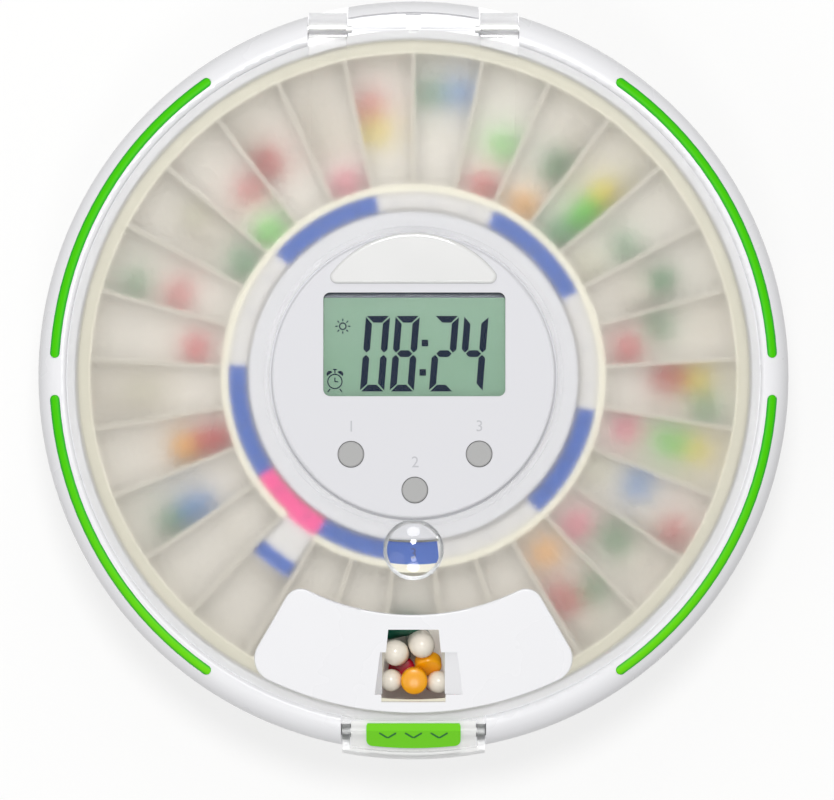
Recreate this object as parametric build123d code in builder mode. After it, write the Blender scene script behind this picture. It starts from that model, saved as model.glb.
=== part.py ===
from build123d import *
import os
from math import acos, asin, cos, degrees, hypot, pi, radians, sin, sqrt, tan

# Automatic pill dispenser: a round white base with a lit rim, a carousel tray of 29 compartments turned by
# a gear train, a fixed console with a clock display and three keys, and a hinged see-through lid.
# Frame: +Z up, the tray turns about Z, the hinge is at +Y, the dispensing window at -Y, z = 0 at the feet.
# All sizes are in millimetres.

# ---------------------------------------------------------------- heights
foot_stand = 1.5          # how far the rubber feet stand proud of the bottom cover
cover_thick = 2.2         # bottom cover plate
floor_z = 20.0            # underside of the floor that carries the tray
floor_thick = 2.0
rail_height = 0.7         # low rail on the floor that the tray runs on
run_gap = 0.3             # gap between pieces that slide past each other
shelf_z = 40.0            # shelf in the rim that carries the light strips
shelf_thick = 1.8
split_z = 43.5            # joint line between the housing and the rim bezel
well_top_z = 47.0         # top of the wall round the tray
seat_z = 50.2             # ledge that the lid's edge rests on
crest_z = 52.0            # highest line of the rim
lid_seat_gap = 0.2
lid_top_z = 53.8
lid_thick = 1.8
lid_rim_z = 52.2          # top of the lid's outer edge
console_top_z = 55.0

# ---------------------------------------------------------------- radii
body_r = 110.0            # widest radius of the housing
base_r = 99.5             # radius at the table
wall = 2.2                # housing wall
well_r = 98.6             # bore of the well that the tray sits in
well_wall = 1.8
seat_r = 101.4            # outer edge of the lid ledge
crest_r = 102.8           # radius of the rim's highest line
lid_r = 101.0
lid_band_r = 97.6         # where the lid's top starts to slope down
lid_hole_r = 42.0         # opening in the lid round the console
console_r = 48.3
console_face_r = 41.4     # raised face that stands in the lid's opening
pedestal_r = 46.5         # column under the console
pedestal_wall = 2.0

# ---------------------------------------------------------------- cover screws and feet
screw_ring_r, screws, screw_from = 88.0, 6, 30
post_low_z = 5.0          # lower end of the screw posts
feet_ring_r, foot_angles = 80.0, (45, 135, 225, 315)
foot_r, foot_sink = 6.0, 0.8

# ---------------------------------------------------------------- tray
compartments = 29
tray_r = 98.1
tray_wall = 1.5
tray_lip = 3.7            # width of the thickened top edge
tray_lip_height = 1.6
tray_floor = 1.5
tray_top_z = 50.4
divider_thick = 1.0
divider_top_z = 50.0
step_r = 69.3             # where each compartment's floor steps up
step_height = 5.0
hub_r = 56.2              # outside of the tray's inner wall
hub_bore_r = 54.2
deck_bore_r = 48.9        # hole that passes over the console
deck_z = 45.5
deck_thick = 1.5
hub_top_z = 49.5
ring_thick = 0.5          # printed dosage ring
ring_tab_half = 5.1       # degrees each side of the tab's middle
sector = 360 / compartments
tab_angle = -90 - 3 * sector

# ---------------------------------------------------------------- gears
pressure = radians(20)
tooth_play = 0.12
ring_teeth, drive_teeth, drive_module = 87, 14, 1.2
wheel_teeth, pinion_teeth, wheel_module = 48, 12, 0.6
big_teeth, motor_teeth, motor_module = 50, 10, 0.5
gear_ring_z, gear_ring_height = 24.5, 9.0
drive_r = drive_module * (ring_teeth - drive_teeth) / 2      # drive shaft's distance from the centre
idler_reach = wheel_module * (wheel_teeth + pinion_teeth) / 2
motor_reach = motor_module * (big_teeth + motor_teeth) / 2
drive_at = (0, drive_r)
idler_at = (-idler_reach, drive_r)
motor_at = (-idler_reach, drive_r - motor_reach)
motor_shaft_r = 0.75
shaft_r = 1.5
axle_r = 1.0
spin_play = 0.05          # radial running clearance of shafts and axles
magnet_r, magnet_height, magnet_y = 2.0, 2.0, 62.0
wheel_z, wheel_thick = 11.0, 3.0
big_z, big_thick = 6.0, 3.0

# ---------------------------------------------------------------- hinge and latch
hinge_y, hinge_z = 101.5, 49.4
arm_x, arm_width = 25.0, 11.0
arm_side_gap = 0.4
knuckle_r = 2.6
hinge_pin_r = 1.0
arm_tail_y = 106.3
arm_notch_y = 98.3        # inner end of the notches that the arms swing in
relief_out_r = 106.4      # outer edge of the hollow between the arms
ridge_width, ridge_height, ridge_in_y = 0.8, 0.3, 63.0
nub_r, nub_y = 1.7, 101.2
nub_well_z = 47.2         # floor of the hollow that the nub swings into
latch_half = 18.2         # half width of the latch key
frame_gap = 0.4
frame_cheek = 2.2
frame_r = 112.2           # how far the lid's front tab reaches
frame_bar = 2.3
latch_pivot_y, latch_pivot_z = -103.5, 47.9
key_in_y = -100.5         # inner edge of the latch key, over the lid ledge
key_out_r = 109.5         # outer edge of the latch key
latch_pin_r = 0.8
pocket_z = 36.0
hook_z = 40.4             # top of the hook's nose, under the catch
catch_gap = 0.2
catch_height = 1.8
pad_half = 13.75          # half width of the green pad
pad_out_r = 108.6
pad_corner = 1.8
pad_slope = 3.5           # how far the key drops from its crease to its outer edge

# ---------------------------------------------------------------- window, lens, display, keys
shield_in_r, shield_out_r, shield_half = 69.4, 98.0, 30.0
shield_thick = 1.3
window_in_y, window_out_y = -73.7, -94.8
window_in_half, window_out_half = 7.35, 9.35
bay_in_y, bay_out_y = -80.3, -92.6                   # the window's side bays
bay_left, bay_right = (9.7, 11.3), (12.7, 14.3)      # their half widths, inner and outer end
collar_wall = 1.2
lens_y, lens_r, lens_height = -50.5, 8.8, 3.2
lens_plug_r = 7.5
lcd_x, lcd_y, lcd_w, lcd_h = 0.25, 9.3, 53.0, 30.2    # the display's opening in the cover
lcd_corner = 2.0
lcd_rim = 1.0             # how far the pane and the glass reach under the cover, all round
key_r, key_gap = 3.7, 0.2
key_places = {"left": (-18.2, -22.7), "middle": (0.4, -33.1), "right": (19.1, -22.6)}
key_travel = 0.8
pane_flange = 0.8         # thickness of the clear pane where it lies under the cover
console_screw_places = ((33.5, 15.6), (-33.5, 15.6), (-21.2, -30.3), (21.2, -30.3))
badge_low_y, badge_arc_y, badge_arc_r = 27.0, 11.5, 30.3
guide_in_r, guide_out_r = 103.5, 106.2
guide_start, guide_end = 3.0, 55.5
guide_gap = 0.1
guide_low_z = 45.2        # underside of the light guides

# ---------------------------------------------------------------- battery bay
cell_r, cell_length, cells = 7.1, 50.0, 4
bay_roof = 1.0
bay_top_z = 19.6
cell_pitch = 15.0
bay_y = -52.0
bay_wall = 1.2
bay_w = cells * cell_pitch + 1.0
bay_l = cell_length + 5.0

# ---------------------------------------------------------------- boards
board_at, board_w, board_l = (58.0, -2.0), 42.0, 50.0
board_z, board_thick = 8.0, 1.6
buzzer_at = (46.0, 34.0)
face_thick = 1.8
shoulder_z = 51.4         # console's shoulder under the lid
console_board_z, console_board_thick = 48.1, 1.2
lcd_module_top = 52.0
key_top_z = 55.5

# ---------------------------------------------------------------- worked out
floor_top = floor_z + floor_thick
tray_z = floor_top + rail_height + run_gap
tray_floor_top = tray_z + tray_floor
lid_under = lid_top_z - lid_thick
lid_edge_z = seat_z + lid_seat_gap
cover_z = foot_stand
cover_top = cover_z + cover_thick
ring_z = deck_z + deck_thick
rim_round = body_r - crest_r
console_floor_z = 46.0
step_top = tray_floor_top + step_height
guide_wide = guide_out_r - guide_in_r
guide_middle_r = (guide_in_r + guide_out_r) / 2

os.makedirs("parts", exist_ok=True)


def save(piece, name):
    piece.part.label = name
    export_step(piece.part, f"parts/{name}.step")


def radial(angle, height=0.0):
    """Upright plane through Z: its x runs outwards at this angle and its y runs up."""
    a = radians(angle)
    return Plane(origin=(0, 0, height), x_dir=(cos(a), sin(a), 0), z_dir=(sin(a), -cos(a), 0))


def rim_height(r, proud=0.0):
    """Height of the rim's rounded outside at radius r."""
    return crest_z - rim_round + sqrt((rim_round + proud) ** 2 - (r - crest_r) ** 2)


def guide_line(start):
    """Middle line of a light guide in plan, short of its two round ends."""
    turn = degrees(guide_wide / 2 / guide_middle_r)
    return Edge.make_circle(
        guide_middle_r, start_angle=start + turn, end_angle=start + guide_end - guide_start - turn
    )


def polar(r, angle):
    return (r * cos(angle), r * sin(angle))


def window_line(grow):
    """Outline of the dispensing window, grown outwards by this much."""
    side = [
        (window_in_half + grow, window_in_y + grow),
        (window_in_half + 0.63 + grow, bay_in_y + grow),
        (bay_right[0] + grow, bay_in_y + grow),
        (bay_right[1] + grow, bay_out_y - grow),
        (window_out_half + grow, bay_out_y - grow),
        (window_out_half + grow, window_out_y - grow),
        (-window_out_half - grow, window_out_y - grow),
        (-window_out_half - grow, bay_out_y - grow),
        (-bay_left[1] - grow, bay_out_y - grow),
        (-bay_left[0] - grow, bay_in_y + grow),
        (-window_in_half - 0.63 - grow, bay_in_y + grow),
        (-window_in_half - grow, window_in_y + grow),
    ]
    Polyline(*side, close=True)


def involute(angle):
    return tan(angle) - angle


def tooth_line(teeth, module, root, tip, play, tooth_at):
    """Draws a whole gear outline, one involute tooth after another, with a tooth at tooth_at degrees."""
    pitch = module * teeth / 2
    base = pitch * cos(pressure)
    half = pi / (2 * teeth) - play / (2 * pitch) + involute(pressure)

    def flank(r):
        return half - involute(acos(min(1.0, base / r)))

    low = max(root, base)
    for tooth in range(teeth):
        mid = radians(tooth_at) + 2 * pi * tooth / teeth
        after = mid + 2 * pi / teeth
        rise = [polar(r, mid - flank(r)) for r in (low, (low + tip) / 2, tip)]
        fall = [polar(r, mid + flank(r)) for r in (tip, (low + tip) / 2, low)]
        if low > root:
            Line(polar(root, mid - flank(low)), rise[0])
            Line(fall[2], polar(root, mid + flank(low)))
        ThreePointArc(*rise)
        ThreePointArc(rise[2], polar(tip, mid), fall[0])
        ThreePointArc(*fall)
        ThreePointArc(
            polar(root, mid + flank(low)),
            polar(root, (mid + after) / 2),
            polar(root, after - flank(low)),
        )


# ================================================================ housing
with BuildPart() as base_housing:
    with BuildSketch(Plane.XZ):
        with BuildLine():
            outside = ThreePointArc((base_r, cover_z), (body_r - 3.2, floor_z), (body_r, split_z))
            rim_top = Line(outside @ 1, (body_r - wall, split_z))
            inside = ThreePointArc(rim_top @ 1, (body_r - wall - 3.2, floor_z), (base_r - wall, cover_z))
            Line(inside @ 1, outside @ 0)
        make_face()
        with Locations((0, floor_z)):
            Rectangle(body_r - wall - 2.6, floor_thick, align=Align.MIN)
        with Locations((well_r, floor_z)):
            Rectangle(well_wall, well_top_z - floor_z, align=Align.MIN)
        with Locations((well_r, shelf_z)):
            Rectangle(body_r - wall - well_r, shelf_thick, align=Align.MIN)
        with Locations((pedestal_r - pedestal_wall, floor_z)):
            Rectangle(pedestal_wall, console_floor_z - floor_z, align=Align.MIN)
        with Locations((75.0, floor_top)):
            Rectangle(2.5, rail_height, align=Align.MIN)
    revolve(axis=Axis.Z)
    # opening under the console, for the wiring
    with BuildSketch(Plane.XY.offset(floor_z)):
        Circle(30.0)
    extrude(amount=floor_thick, mode=Mode.SUBTRACT)
    # screw posts for the bottom cover
    with BuildSketch(Plane.XY.offset(floor_z)):
        with PolarLocations(screw_ring_r, screws, start_angle=screw_from):
            Circle(3.5)
    extrude(amount=-(floor_z - post_low_z))
    # socket that holds the motor, and the bosses of the two gear axles
    with BuildSketch(Plane.XY.offset(floor_z)):
        with Locations(motor_at):
            Circle(9.0)
        with Locations(idler_at, drive_at):
            Circle(4.0)
    extrude(amount=-4.0)
    with BuildSketch(Plane.XY.offset(floor_z)):
        with Locations(motor_at):
            Circle(7.6)
    extrude(amount=-4.0, mode=Mode.SUBTRACT)
    with BuildSketch(Plane.XY.offset(floor_z - 4.0)):
        with Locations(idler_at):
            Circle(axle_r)
    extrude(amount=4.0, mode=Mode.SUBTRACT)
    with BuildSketch(Plane.XY.offset(floor_z - 4.0)):
        with Locations(drive_at):
            Circle(2.6)
    extrude(amount=floor_thick + 4.0, mode=Mode.SUBTRACT)
    # window where the drive pinion reaches out of the column
    with BuildSketch(Plane.XY.offset(floor_top)):
        with Locations((0, pedestal_r)):
            Rectangle(21.0, 12.0)
    extrude(amount=gear_ring_z + gear_ring_height + 1.0 - floor_top, mode=Mode.SUBTRACT)
    # latch pocket in the front of the rim, closed at its sides and floor
    with BuildSketch(radial(-90 - 12.6)):
        with Locations((well_r + 0.4, pocket_z - 3.0)):
            Rectangle(body_r - 1.2 - well_r - 0.4, split_z - pocket_z + 3.0, align=Align.MIN)
    revolve(axis=Axis.Z, revolution_arc=25.2)
    with BuildSketch(Plane.XY.offset(pocket_z)):
        Circle(body_r - 2.6)
        with Locations((0, -seat_r - 0.1)):
            Rectangle(2 * (latch_half + frame_gap + frame_cheek + frame_gap), 30.0,
                      align=(Align.CENTER, Align.MAX), mode=Mode.INTERSECT)
    extrude(amount=20.0, mode=Mode.SUBTRACT)
    # lip that the latch hooks under
    with BuildSketch(Plane.XY.offset(hook_z + catch_gap)):
        with Locations((0, -body_r + 2.9)):
            Rectangle(10.0, 1.0)
    extrude(amount=catch_height)
    # screw holes
    with BuildSketch(Plane.XY.offset(post_low_z)):
        with PolarLocations(screw_ring_r, screws, start_angle=screw_from):
            Circle(1.4)
    extrude(amount=12.0, mode=Mode.SUBTRACT)
save(base_housing, "base_housing")

# ================================================================ rim bezel
with BuildPart() as rim_bezel:
    with BuildSketch(Plane.XZ):
        with BuildLine():
            Line((well_r, well_top_z), (well_r, seat_z))
            Line((well_r, seat_z), (seat_r, seat_z))
            Line((seat_r, seat_z), (seat_r, crest_z - 0.7))
            ThreePointArc((seat_r, crest_z - 0.7), (seat_r + 0.5, crest_z - 0.15), (crest_r, crest_z))
            round_at = (crest_r, crest_z - rim_round)
            CenterArc(round_at, rim_round, 0, 90)
            Line((body_r, crest_z - rim_round), (body_r, split_z))
            Line((body_r, split_z), (body_r - wall, split_z))
            Line((body_r - wall, split_z), (body_r - wall, crest_z - rim_round))
            CenterArc(round_at, rim_round - wall, 0, 90)
            Line((crest_r, crest_z - wall), (well_r + well_wall, crest_z - wall))
            Line((well_r + well_wall, crest_z - wall), (well_r + well_wall, well_top_z))
            Line((well_r + well_wall, well_top_z), (well_r, well_top_z))
        make_face()
    revolve(axis=Axis.Z)
    # solid ends at the front notch, and the solid block that carries the hinge
    for middle, half, low in ((-90, 13.0, split_z), (90, 19.5, 42.0)):
        with BuildSketch(radial(middle - half)):
            with BuildLine():
                Line((seat_r - 0.1, low), (seat_r - 0.1, crest_z - 1.0))
                Line((seat_r - 0.1, crest_z - 1.0), (crest_r, crest_z - 0.2))
                CenterArc(round_at, rim_round - 0.2, 0, 90)
                Line((body_r - 0.2, crest_z - rim_round), (body_r - 0.2, split_z))
                Line((body_r - 0.2, split_z), (body_r - 2.7, split_z))
                if low < split_z:
                    Line((body_r - 2.7, split_z), (body_r - 2.7, low))
                Line((body_r - 2.7, low), (seat_r - 0.1, low))
            make_face()
        revolve(axis=Axis.Z, revolution_arc=2 * half)
    # slots for the four light guides
    for start in (guide_start, 90 + 90 - guide_end, 180 + guide_start, 360 - guide_end):
        with BuildSketch(Plane.XY.offset(split_z)):
            SlotArc(guide_line(start), guide_wide + 2 * guide_gap)
        extrude(amount=12.0, mode=Mode.SUBTRACT)
    # notches for the hinge arms
    arm_slot = arm_width + 2 * arm_side_gap
    for low, y_from in ((44.0, arm_notch_y), (seat_z, 94.0)):
        with BuildSketch(Plane.XY.offset(low)):
            with Locations((-arm_x, y_from), (arm_x, y_from)):
                Rectangle(arm_slot, 20.0, align=(Align.CENTER, Align.MIN))
        extrude(amount=12.0, mode=Mode.SUBTRACT)
    # relief between the arms, where the lid's edge swings
    with BuildSketch(Plane.XY.offset(48.6)):
        Circle(relief_out_r)
        Circle(seat_r - 0.3, mode=Mode.SUBTRACT)
        with Locations((0, seat_r)):
            Rectangle(2 * arm_x - arm_slot, 20.0, mode=Mode.INTERSECT)
    extrude(amount=8.0, mode=Mode.SUBTRACT)
    with BuildSketch(Plane.XY.offset(nub_well_z)):
        with Locations((0, nub_y + 0.2)):
            Rectangle(2 * nub_r + 1.0, 4.6, align=(Align.CENTER, Align.MIN))
    extrude(amount=8.0, mode=Mode.SUBTRACT)
    # front notch for the lid's tab, with flared corners
    notch_half = latch_half + frame_gap + frame_cheek + frame_gap
    for low, y_from in ((split_z, -seat_r), (seat_z, key_in_y + 2.4)):
        with BuildSketch(Plane.XY.offset(low)):
            with Locations((0, y_from)):
                Rectangle(2 * notch_half, 30.0, align=(Align.CENTER, Align.MAX))
        extrude(amount=12.0, mode=Mode.SUBTRACT)
    # holes for the hinge pins
    with BuildSketch(Plane.YZ.offset(-32.0)):
        with Locations((hinge_y, hinge_z)):
            Circle(hinge_pin_r)
    extrude(amount=64.0, mode=Mode.SUBTRACT)
save(rim_bezel, "rim_bezel")

# ================================================================ light guides and their strips
for number, start in enumerate((guide_start, 180 - guide_end, 180 + guide_start, 360 - guide_end), 1):
    with BuildPart() as light_guide:
        with BuildSketch(Plane.XY.offset(guide_low_z)):
            SlotArc(guide_line(start), guide_wide)
        extrude(amount=12.0)
        with BuildSketch(radial(start - 1.0)):
            with BuildLine():
                Line((guide_in_r, rim_height(guide_in_r)), (guide_in_r, guide_low_z))
                Line((guide_in_r, guide_low_z), (guide_out_r, guide_low_z))
                Line((guide_out_r, guide_low_z), (guide_out_r, rim_height(guide_out_r)))
                ThreePointArc(
                    (guide_out_r, rim_height(guide_out_r)),
                    (guide_middle_r, rim_height(guide_middle_r) + 0.35),
                    (guide_in_r, rim_height(guide_in_r)),
                )
            make_face()
        revolve(axis=Axis.Z, revolution_arc=guide_end - guide_start + 2.0, mode=Mode.INTERSECT)
    save(light_guide, f"light_guide_{number}")

    with BuildPart() as led_strip:
        with BuildSketch(radial(start)):
            with Locations((guide_in_r - 1.0, shelf_z + shelf_thick)):
                Rectangle(guide_out_r - guide_in_r + 1.6, 1.0, align=Align.MIN)
        revolve(axis=Axis.Z, revolution_arc=guide_end - guide_start)
        with BuildSketch(Plane.XY.offset(shelf_z + shelf_thick + 1.0)):
            with PolarLocations(
                guide_middle_r, 6, start_angle=start + 4,
                angular_range=guide_end - guide_start - 8, endpoint=True,
            ):
                Rectangle(1.8, 3.0)
        extrude(amount=1.2)
    save(led_strip, f"led_strip_{number}")

# ================================================================ bottom cover, feet, screws
with BuildPart() as bottom_cover:
    with BuildSketch(Plane.XY.offset(cover_z)):
        Circle(base_r - wall - 0.3)
    extrude(amount=cover_thick)
    with BuildSketch(Plane.XY.offset(cover_top)):
        Circle(base_r - wall - 0.3)
        Circle(base_r - wall - 2.0, mode=Mode.SUBTRACT)
        with PolarLocations(screw_ring_r, screws, start_angle=screw_from):
            Circle(4.5)
    extrude(amount=post_low_z - cover_top)
    # battery bay
    with BuildSketch(Plane.XY.offset(cover_top)):
        with Locations((0, bay_y)):
            Rectangle(bay_w + 2 * bay_wall, bay_l + 2 * bay_wall)
    extrude(amount=bay_top_z - cover_top)
    with BuildSketch(Plane.XY.offset(cover_z)):
        with Locations((0, bay_y)):
            Rectangle(bay_w, bay_l)
    extrude(amount=bay_top_z - bay_roof - cover_z, mode=Mode.SUBTRACT)
    # sockets for the drive shaft and the idler's axle
    with BuildSketch(Plane.XY.offset(cover_top)):
        with Locations(drive_at, idler_at):
            Circle(3.2)
    extrude(amount=1.6)
    with BuildSketch(Plane.XY.offset(cover_top)):
        with Locations(drive_at):
            Circle(shaft_r + spin_play)
        with Locations(idler_at):
            Circle(axle_r)
    extrude(amount=1.6, mode=Mode.SUBTRACT)
    # posts for the main board
    with BuildSketch(Plane.XY.offset(cover_top)):
        with Locations(board_at):
            with GridLocations(board_w - 8.0, board_l - 8.0, 2, 2):
                Circle(2.5)
    extrude(amount=board_z - cover_top)
    # recesses for the feet, screw holes with sunk heads
    with BuildSketch(Plane.XY.offset(cover_z)):
        with PolarLocations(feet_ring_r, len(foot_angles), start_angle=foot_angles[0]):
            Circle(foot_r + 0.1)
    extrude(amount=foot_sink, mode=Mode.SUBTRACT)
    with BuildSketch(Plane.XY.offset(cover_z)):
        with PolarLocations(screw_ring_r, screws, start_angle=screw_from):
            Circle(3.0)
    extrude(amount=1.9, mode=Mode.SUBTRACT)
    with BuildSketch(Plane.XY.offset(cover_z)):
        with PolarLocations(screw_ring_r, screws, start_angle=screw_from):
            Circle(1.6)
    extrude(amount=5.0, mode=Mode.SUBTRACT)
    # sound holes under the buzzer
    with BuildSketch(Plane.XY.offset(cover_z)):
        with Locations(buzzer_at):
            with PolarLocations(5.0, 6):
                Circle(0.9)
            with PolarLocations(0.0, 1):
                Circle(0.9)
    extrude(amount=cover_thick, mode=Mode.SUBTRACT)
save(bottom_cover, "bottom_cover")

for number, angle in enumerate(foot_angles, 1):
    with BuildPart() as foot:
        with BuildSketch(Plane.XY):
            with Locations(polar(feet_ring_r, radians(angle))):
                Circle(foot_r)
        extrude(amount=cover_z + foot_sink)
        chamfer(foot.faces().sort_by(Axis.Z)[0].edges(), 0.4)
    save(foot, f"foot_{number}")

with BuildPart() as cover_screws:
    with BuildSketch(Plane.XY.offset(cover_z + 0.4)):
        with PolarLocations(screw_ring_r, screws, start_angle=screw_from):
            Circle(2.7)
    extrude(amount=1.5)
    with BuildSketch(Plane.XY.offset(cover_z + 1.9)):
        with PolarLocations(screw_ring_r, screws, start_angle=screw_from):
            Circle(1.35)
    extrude(amount=9.0)
    with BuildSketch(Plane.XY.offset(cover_z + 0.4)):
        with PolarLocations(screw_ring_r, screws, start_angle=screw_from):
            Rectangle(3.2, 0.7)
            Rectangle(0.7, 3.2)
    extrude(amount=0.8, mode=Mode.SUBTRACT)
save(cover_screws, "cover_screws")

# ================================================================ battery door and cells
with BuildPart() as battery_door:
    with BuildSketch(Plane.XY.offset(cover_z)):
        with Locations((0, bay_y)):
            Rectangle(bay_w - 0.6, bay_l - 0.6)
    extrude(amount=2.0)
    # finger notch and grip ribs on the outside, foam rail inside
    with BuildSketch(Plane.XY.offset(cover_z)):
        with Locations((0, bay_y + bay_l / 2 - 4.0)):
            with GridLocations(0, 2.4, 1, 3):
                Rectangle(16.0, 1.0)
    extrude(amount=0.6, mode=Mode.SUBTRACT)
    with BuildSketch(Plane.XY.offset(cover_z + 2.0)):
        with Locations((0, bay_y)):
            Rectangle(bay_w - 8.0, 6.0)
    extrude(amount=0.6)
save(battery_door, "battery_door")

cell_z = bay_top_z - bay_roof - 0.05 - cell_r
with BuildPart() as batteries:
    for number in range(cells):
        cell_x = (number - (cells - 1) / 2) * cell_pitch
        up = 1 if number % 2 else -1
        with BuildSketch(Plane.XZ.offset(-bay_y - up * 0.5)):
            with Locations((cell_x, cell_z)):
                Circle(cell_r)
        extrude(amount=cell_length / 2 - 0.5, both=True)
        with BuildSketch(Plane.XZ.offset(-bay_y + up * (cell_length / 2 - 1.0))):
            with Locations((cell_x, cell_z)):
                Circle(2.7)
        extrude(amount=up * 1.0)
save(batteries, "batteries")

with BuildPart() as battery_contacts:
    for y_side in (-1, 1):
        with BuildSketch(Plane.XY.offset(cover_z + 3.5)):
            with Locations((0, bay_y + y_side * (bay_l / 2 - 0.4))):
                with GridLocations(2 * cell_pitch, 0, 2, 1):
                    Rectangle(cell_pitch + 10.0, 0.6)
        extrude(amount=12.0)
        with BuildSketch(Plane.XY.offset(cell_z - 2.0)):
            with Locations((0, bay_y + y_side * (bay_l / 2 - 1.5))):
                with GridLocations(cell_pitch, 0, cells, 1):
                    Rectangle(5.0, 1.6)
        extrude(amount=4.0)
save(battery_contacts, "battery_contacts")

# ================================================================ carousel tray
with BuildPart() as tray_floor_disc:
    with BuildSketch(Plane.XY.offset(tray_z)):
        Circle(tray_r - tray_wall)
        Circle(hub_r, mode=Mode.SUBTRACT)
    extrude(amount=tray_floor)
    # pocket for the index magnet
    with BuildSketch(Plane.XY.offset(tray_z)):
        with Locations((0, magnet_y)):
            Circle(magnet_r)
    extrude(amount=magnet_height, mode=Mode.SUBTRACT)
save(tray_floor_disc, "tray_floor")

# raised inner part of each compartment's floor, a straight step between dividers
with BuildPart() as tray_steps:
    with BuildSketch(Plane.XY.offset(tray_floor_top)):
        RegularPolygon(step_r, compartments, rotation=-90 - sector / 2)
        Circle(hub_r, mode=Mode.SUBTRACT)
    extrude(amount=step_height)
    with BuildSketch(Plane.XY.offset(tray_z)):
        with Locations((0, magnet_y)):
            Circle(magnet_r)
    extrude(amount=magnet_height, mode=Mode.SUBTRACT)
save(tray_steps, "tray_steps")

with BuildPart() as tray_hub:
    with BuildSketch(Plane.XZ):
        with Locations((hub_bore_r, tray_z)):
            Rectangle(hub_r - hub_bore_r, hub_top_z - tray_z, align=Align.MIN)
        with Locations((deck_bore_r, deck_z)):
            Rectangle(hub_r - deck_bore_r, deck_thick, align=Align.MIN)
    revolve(axis=Axis.Z)
    # internal gear inside the hub
    with BuildSketch(Plane.XY.offset(gear_ring_z)):
        Circle(hub_bore_r + 0.5)
        with BuildLine():
            ring_tip = drive_module * (ring_teeth / 2 - 0.67)
            ring_root = drive_module * (ring_teeth / 2 + 1.25)
            tooth_line(ring_teeth, drive_module, ring_tip, ring_root, -tooth_play, 90)
        make_face(mode=Mode.SUBTRACT)
    extrude(amount=gear_ring_height)
    # way through the hub wall for the dosage ring's tab
    with BuildSketch(radial(tab_angle - ring_tab_half - 0.3)):
        with Locations((hub_bore_r - 1.0, ring_z)):
            Rectangle(4.0, 6.0, align=Align.MIN)
    revolve(axis=Axis.Z, revolution_arc=2 * (ring_tab_half + 0.3), mode=Mode.SUBTRACT)
save(tray_hub, "tray_hub")

with BuildPart() as tray_outer_wall:
    with BuildSketch(Plane.XZ):
        with BuildLine():
            Polyline(
                (tray_r - tray_wall, tray_z),
                (tray_r, tray_z),
                (tray_r, tray_top_z - 0.5),
                (tray_r - 0.5, tray_top_z),
                (tray_r - tray_lip, tray_top_z),
                (tray_r - tray_lip, tray_top_z - tray_lip_height),
                (tray_r - tray_wall, tray_top_z - tray_lip_height - 1.0),
                close=True,
            )
        make_face()
    revolve(axis=Axis.Z)
save(tray_outer_wall, "tray_outer_wall")

with BuildPart() as tray_dividers:
    with BuildSketch(Plane.XY.offset(step_top)):
        with PolarLocations(0, compartments, start_angle=-90 - sector / 2):
            with Locations((hub_r, 0)):
                Rectangle(tray_r - tray_lip - hub_r - 0.02, divider_thick, align=(Align.MIN, Align.CENTER))
    extrude(amount=divider_top_z - step_top)
    with BuildSketch(Plane.XY.offset(tray_floor_top)):
        with PolarLocations(0, compartments, start_angle=-90 - sector / 2):
            with Locations((step_r, 0)):
                Rectangle(tray_r - tray_wall - step_r - 0.02, divider_thick, align=(Align.MIN, Align.CENTER))
    extrude(amount=step_top - tray_floor_top)
    with BuildSketch(Plane.XY.offset(step_top)):
        with PolarLocations(0, compartments, start_angle=-90 - sector / 2):
            with Locations((tray_r - tray_lip - 1.0, 0)):
                Rectangle(tray_lip + 1.0 - tray_wall - 0.02, divider_thick, align=(Align.MIN, Align.CENTER))
    extrude(amount=tray_top_z - tray_lip_height - 1.0 - step_top)
save(tray_dividers, "tray_dividers")

with BuildPart() as dosage_ring:
    with BuildSketch(Plane.XY.offset(ring_z)):
        Circle(hub_bore_r - 0.2)
        Circle(deck_bore_r + 0.2, mode=Mode.SUBTRACT)
    extrude(amount=ring_thick)
    with BuildSketch(radial(tab_angle - ring_tab_half)):
        with Locations((hub_bore_r - 1.0, ring_z)):
            Rectangle(step_r - hub_bore_r + 1.0, ring_thick, align=Align.MIN)
    revolve(axis=Axis.Z, revolution_arc=2 * ring_tab_half)
save(dosage_ring, "dosage_ring")

# ================================================================ drive train
with BuildPart() as drive_shaft:
    with BuildSketch(Plane.XY.offset(cover_top + 0.2)):
        with Locations(drive_at):
            Circle(shaft_r)
    extrude(amount=33.0 - cover_top)
save(drive_shaft, "drive_shaft")

with BuildPart() as drive_pinion:
    with BuildSketch(Plane(origin=(*drive_at, gear_ring_z + 1.0))):
        with BuildLine():
            tooth_line(
                drive_teeth, drive_module, drive_module * (drive_teeth / 2 - 1.25),
                drive_module * (drive_teeth / 2 + 0.8), tooth_play, 90,
            )
        make_face()
    extrude(amount=gear_ring_height - 3.0)
    with BuildSketch(Plane.XY.offset(floor_top + 0.4)):
        with Locations(drive_at):
            Circle(3.5)
    extrude(amount=gear_ring_z + 1.0 - floor_top - 0.4)
    with BuildSketch(Plane.XY.offset(floor_top)):
        with Locations(drive_at):
            Circle(shaft_r)
    extrude(amount=20.0, mode=Mode.SUBTRACT)
save(drive_pinion, "drive_pinion")

with BuildPart() as drive_bush:
    with BuildSketch(Plane.XY.offset(floor_z - 4.0)):
        with Locations(drive_at):
            Circle(2.6)
            Circle(shaft_r + spin_play, mode=Mode.SUBTRACT)
    extrude(amount=floor_thick + 4.0)
save(drive_bush, "drive_bush")

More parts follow.
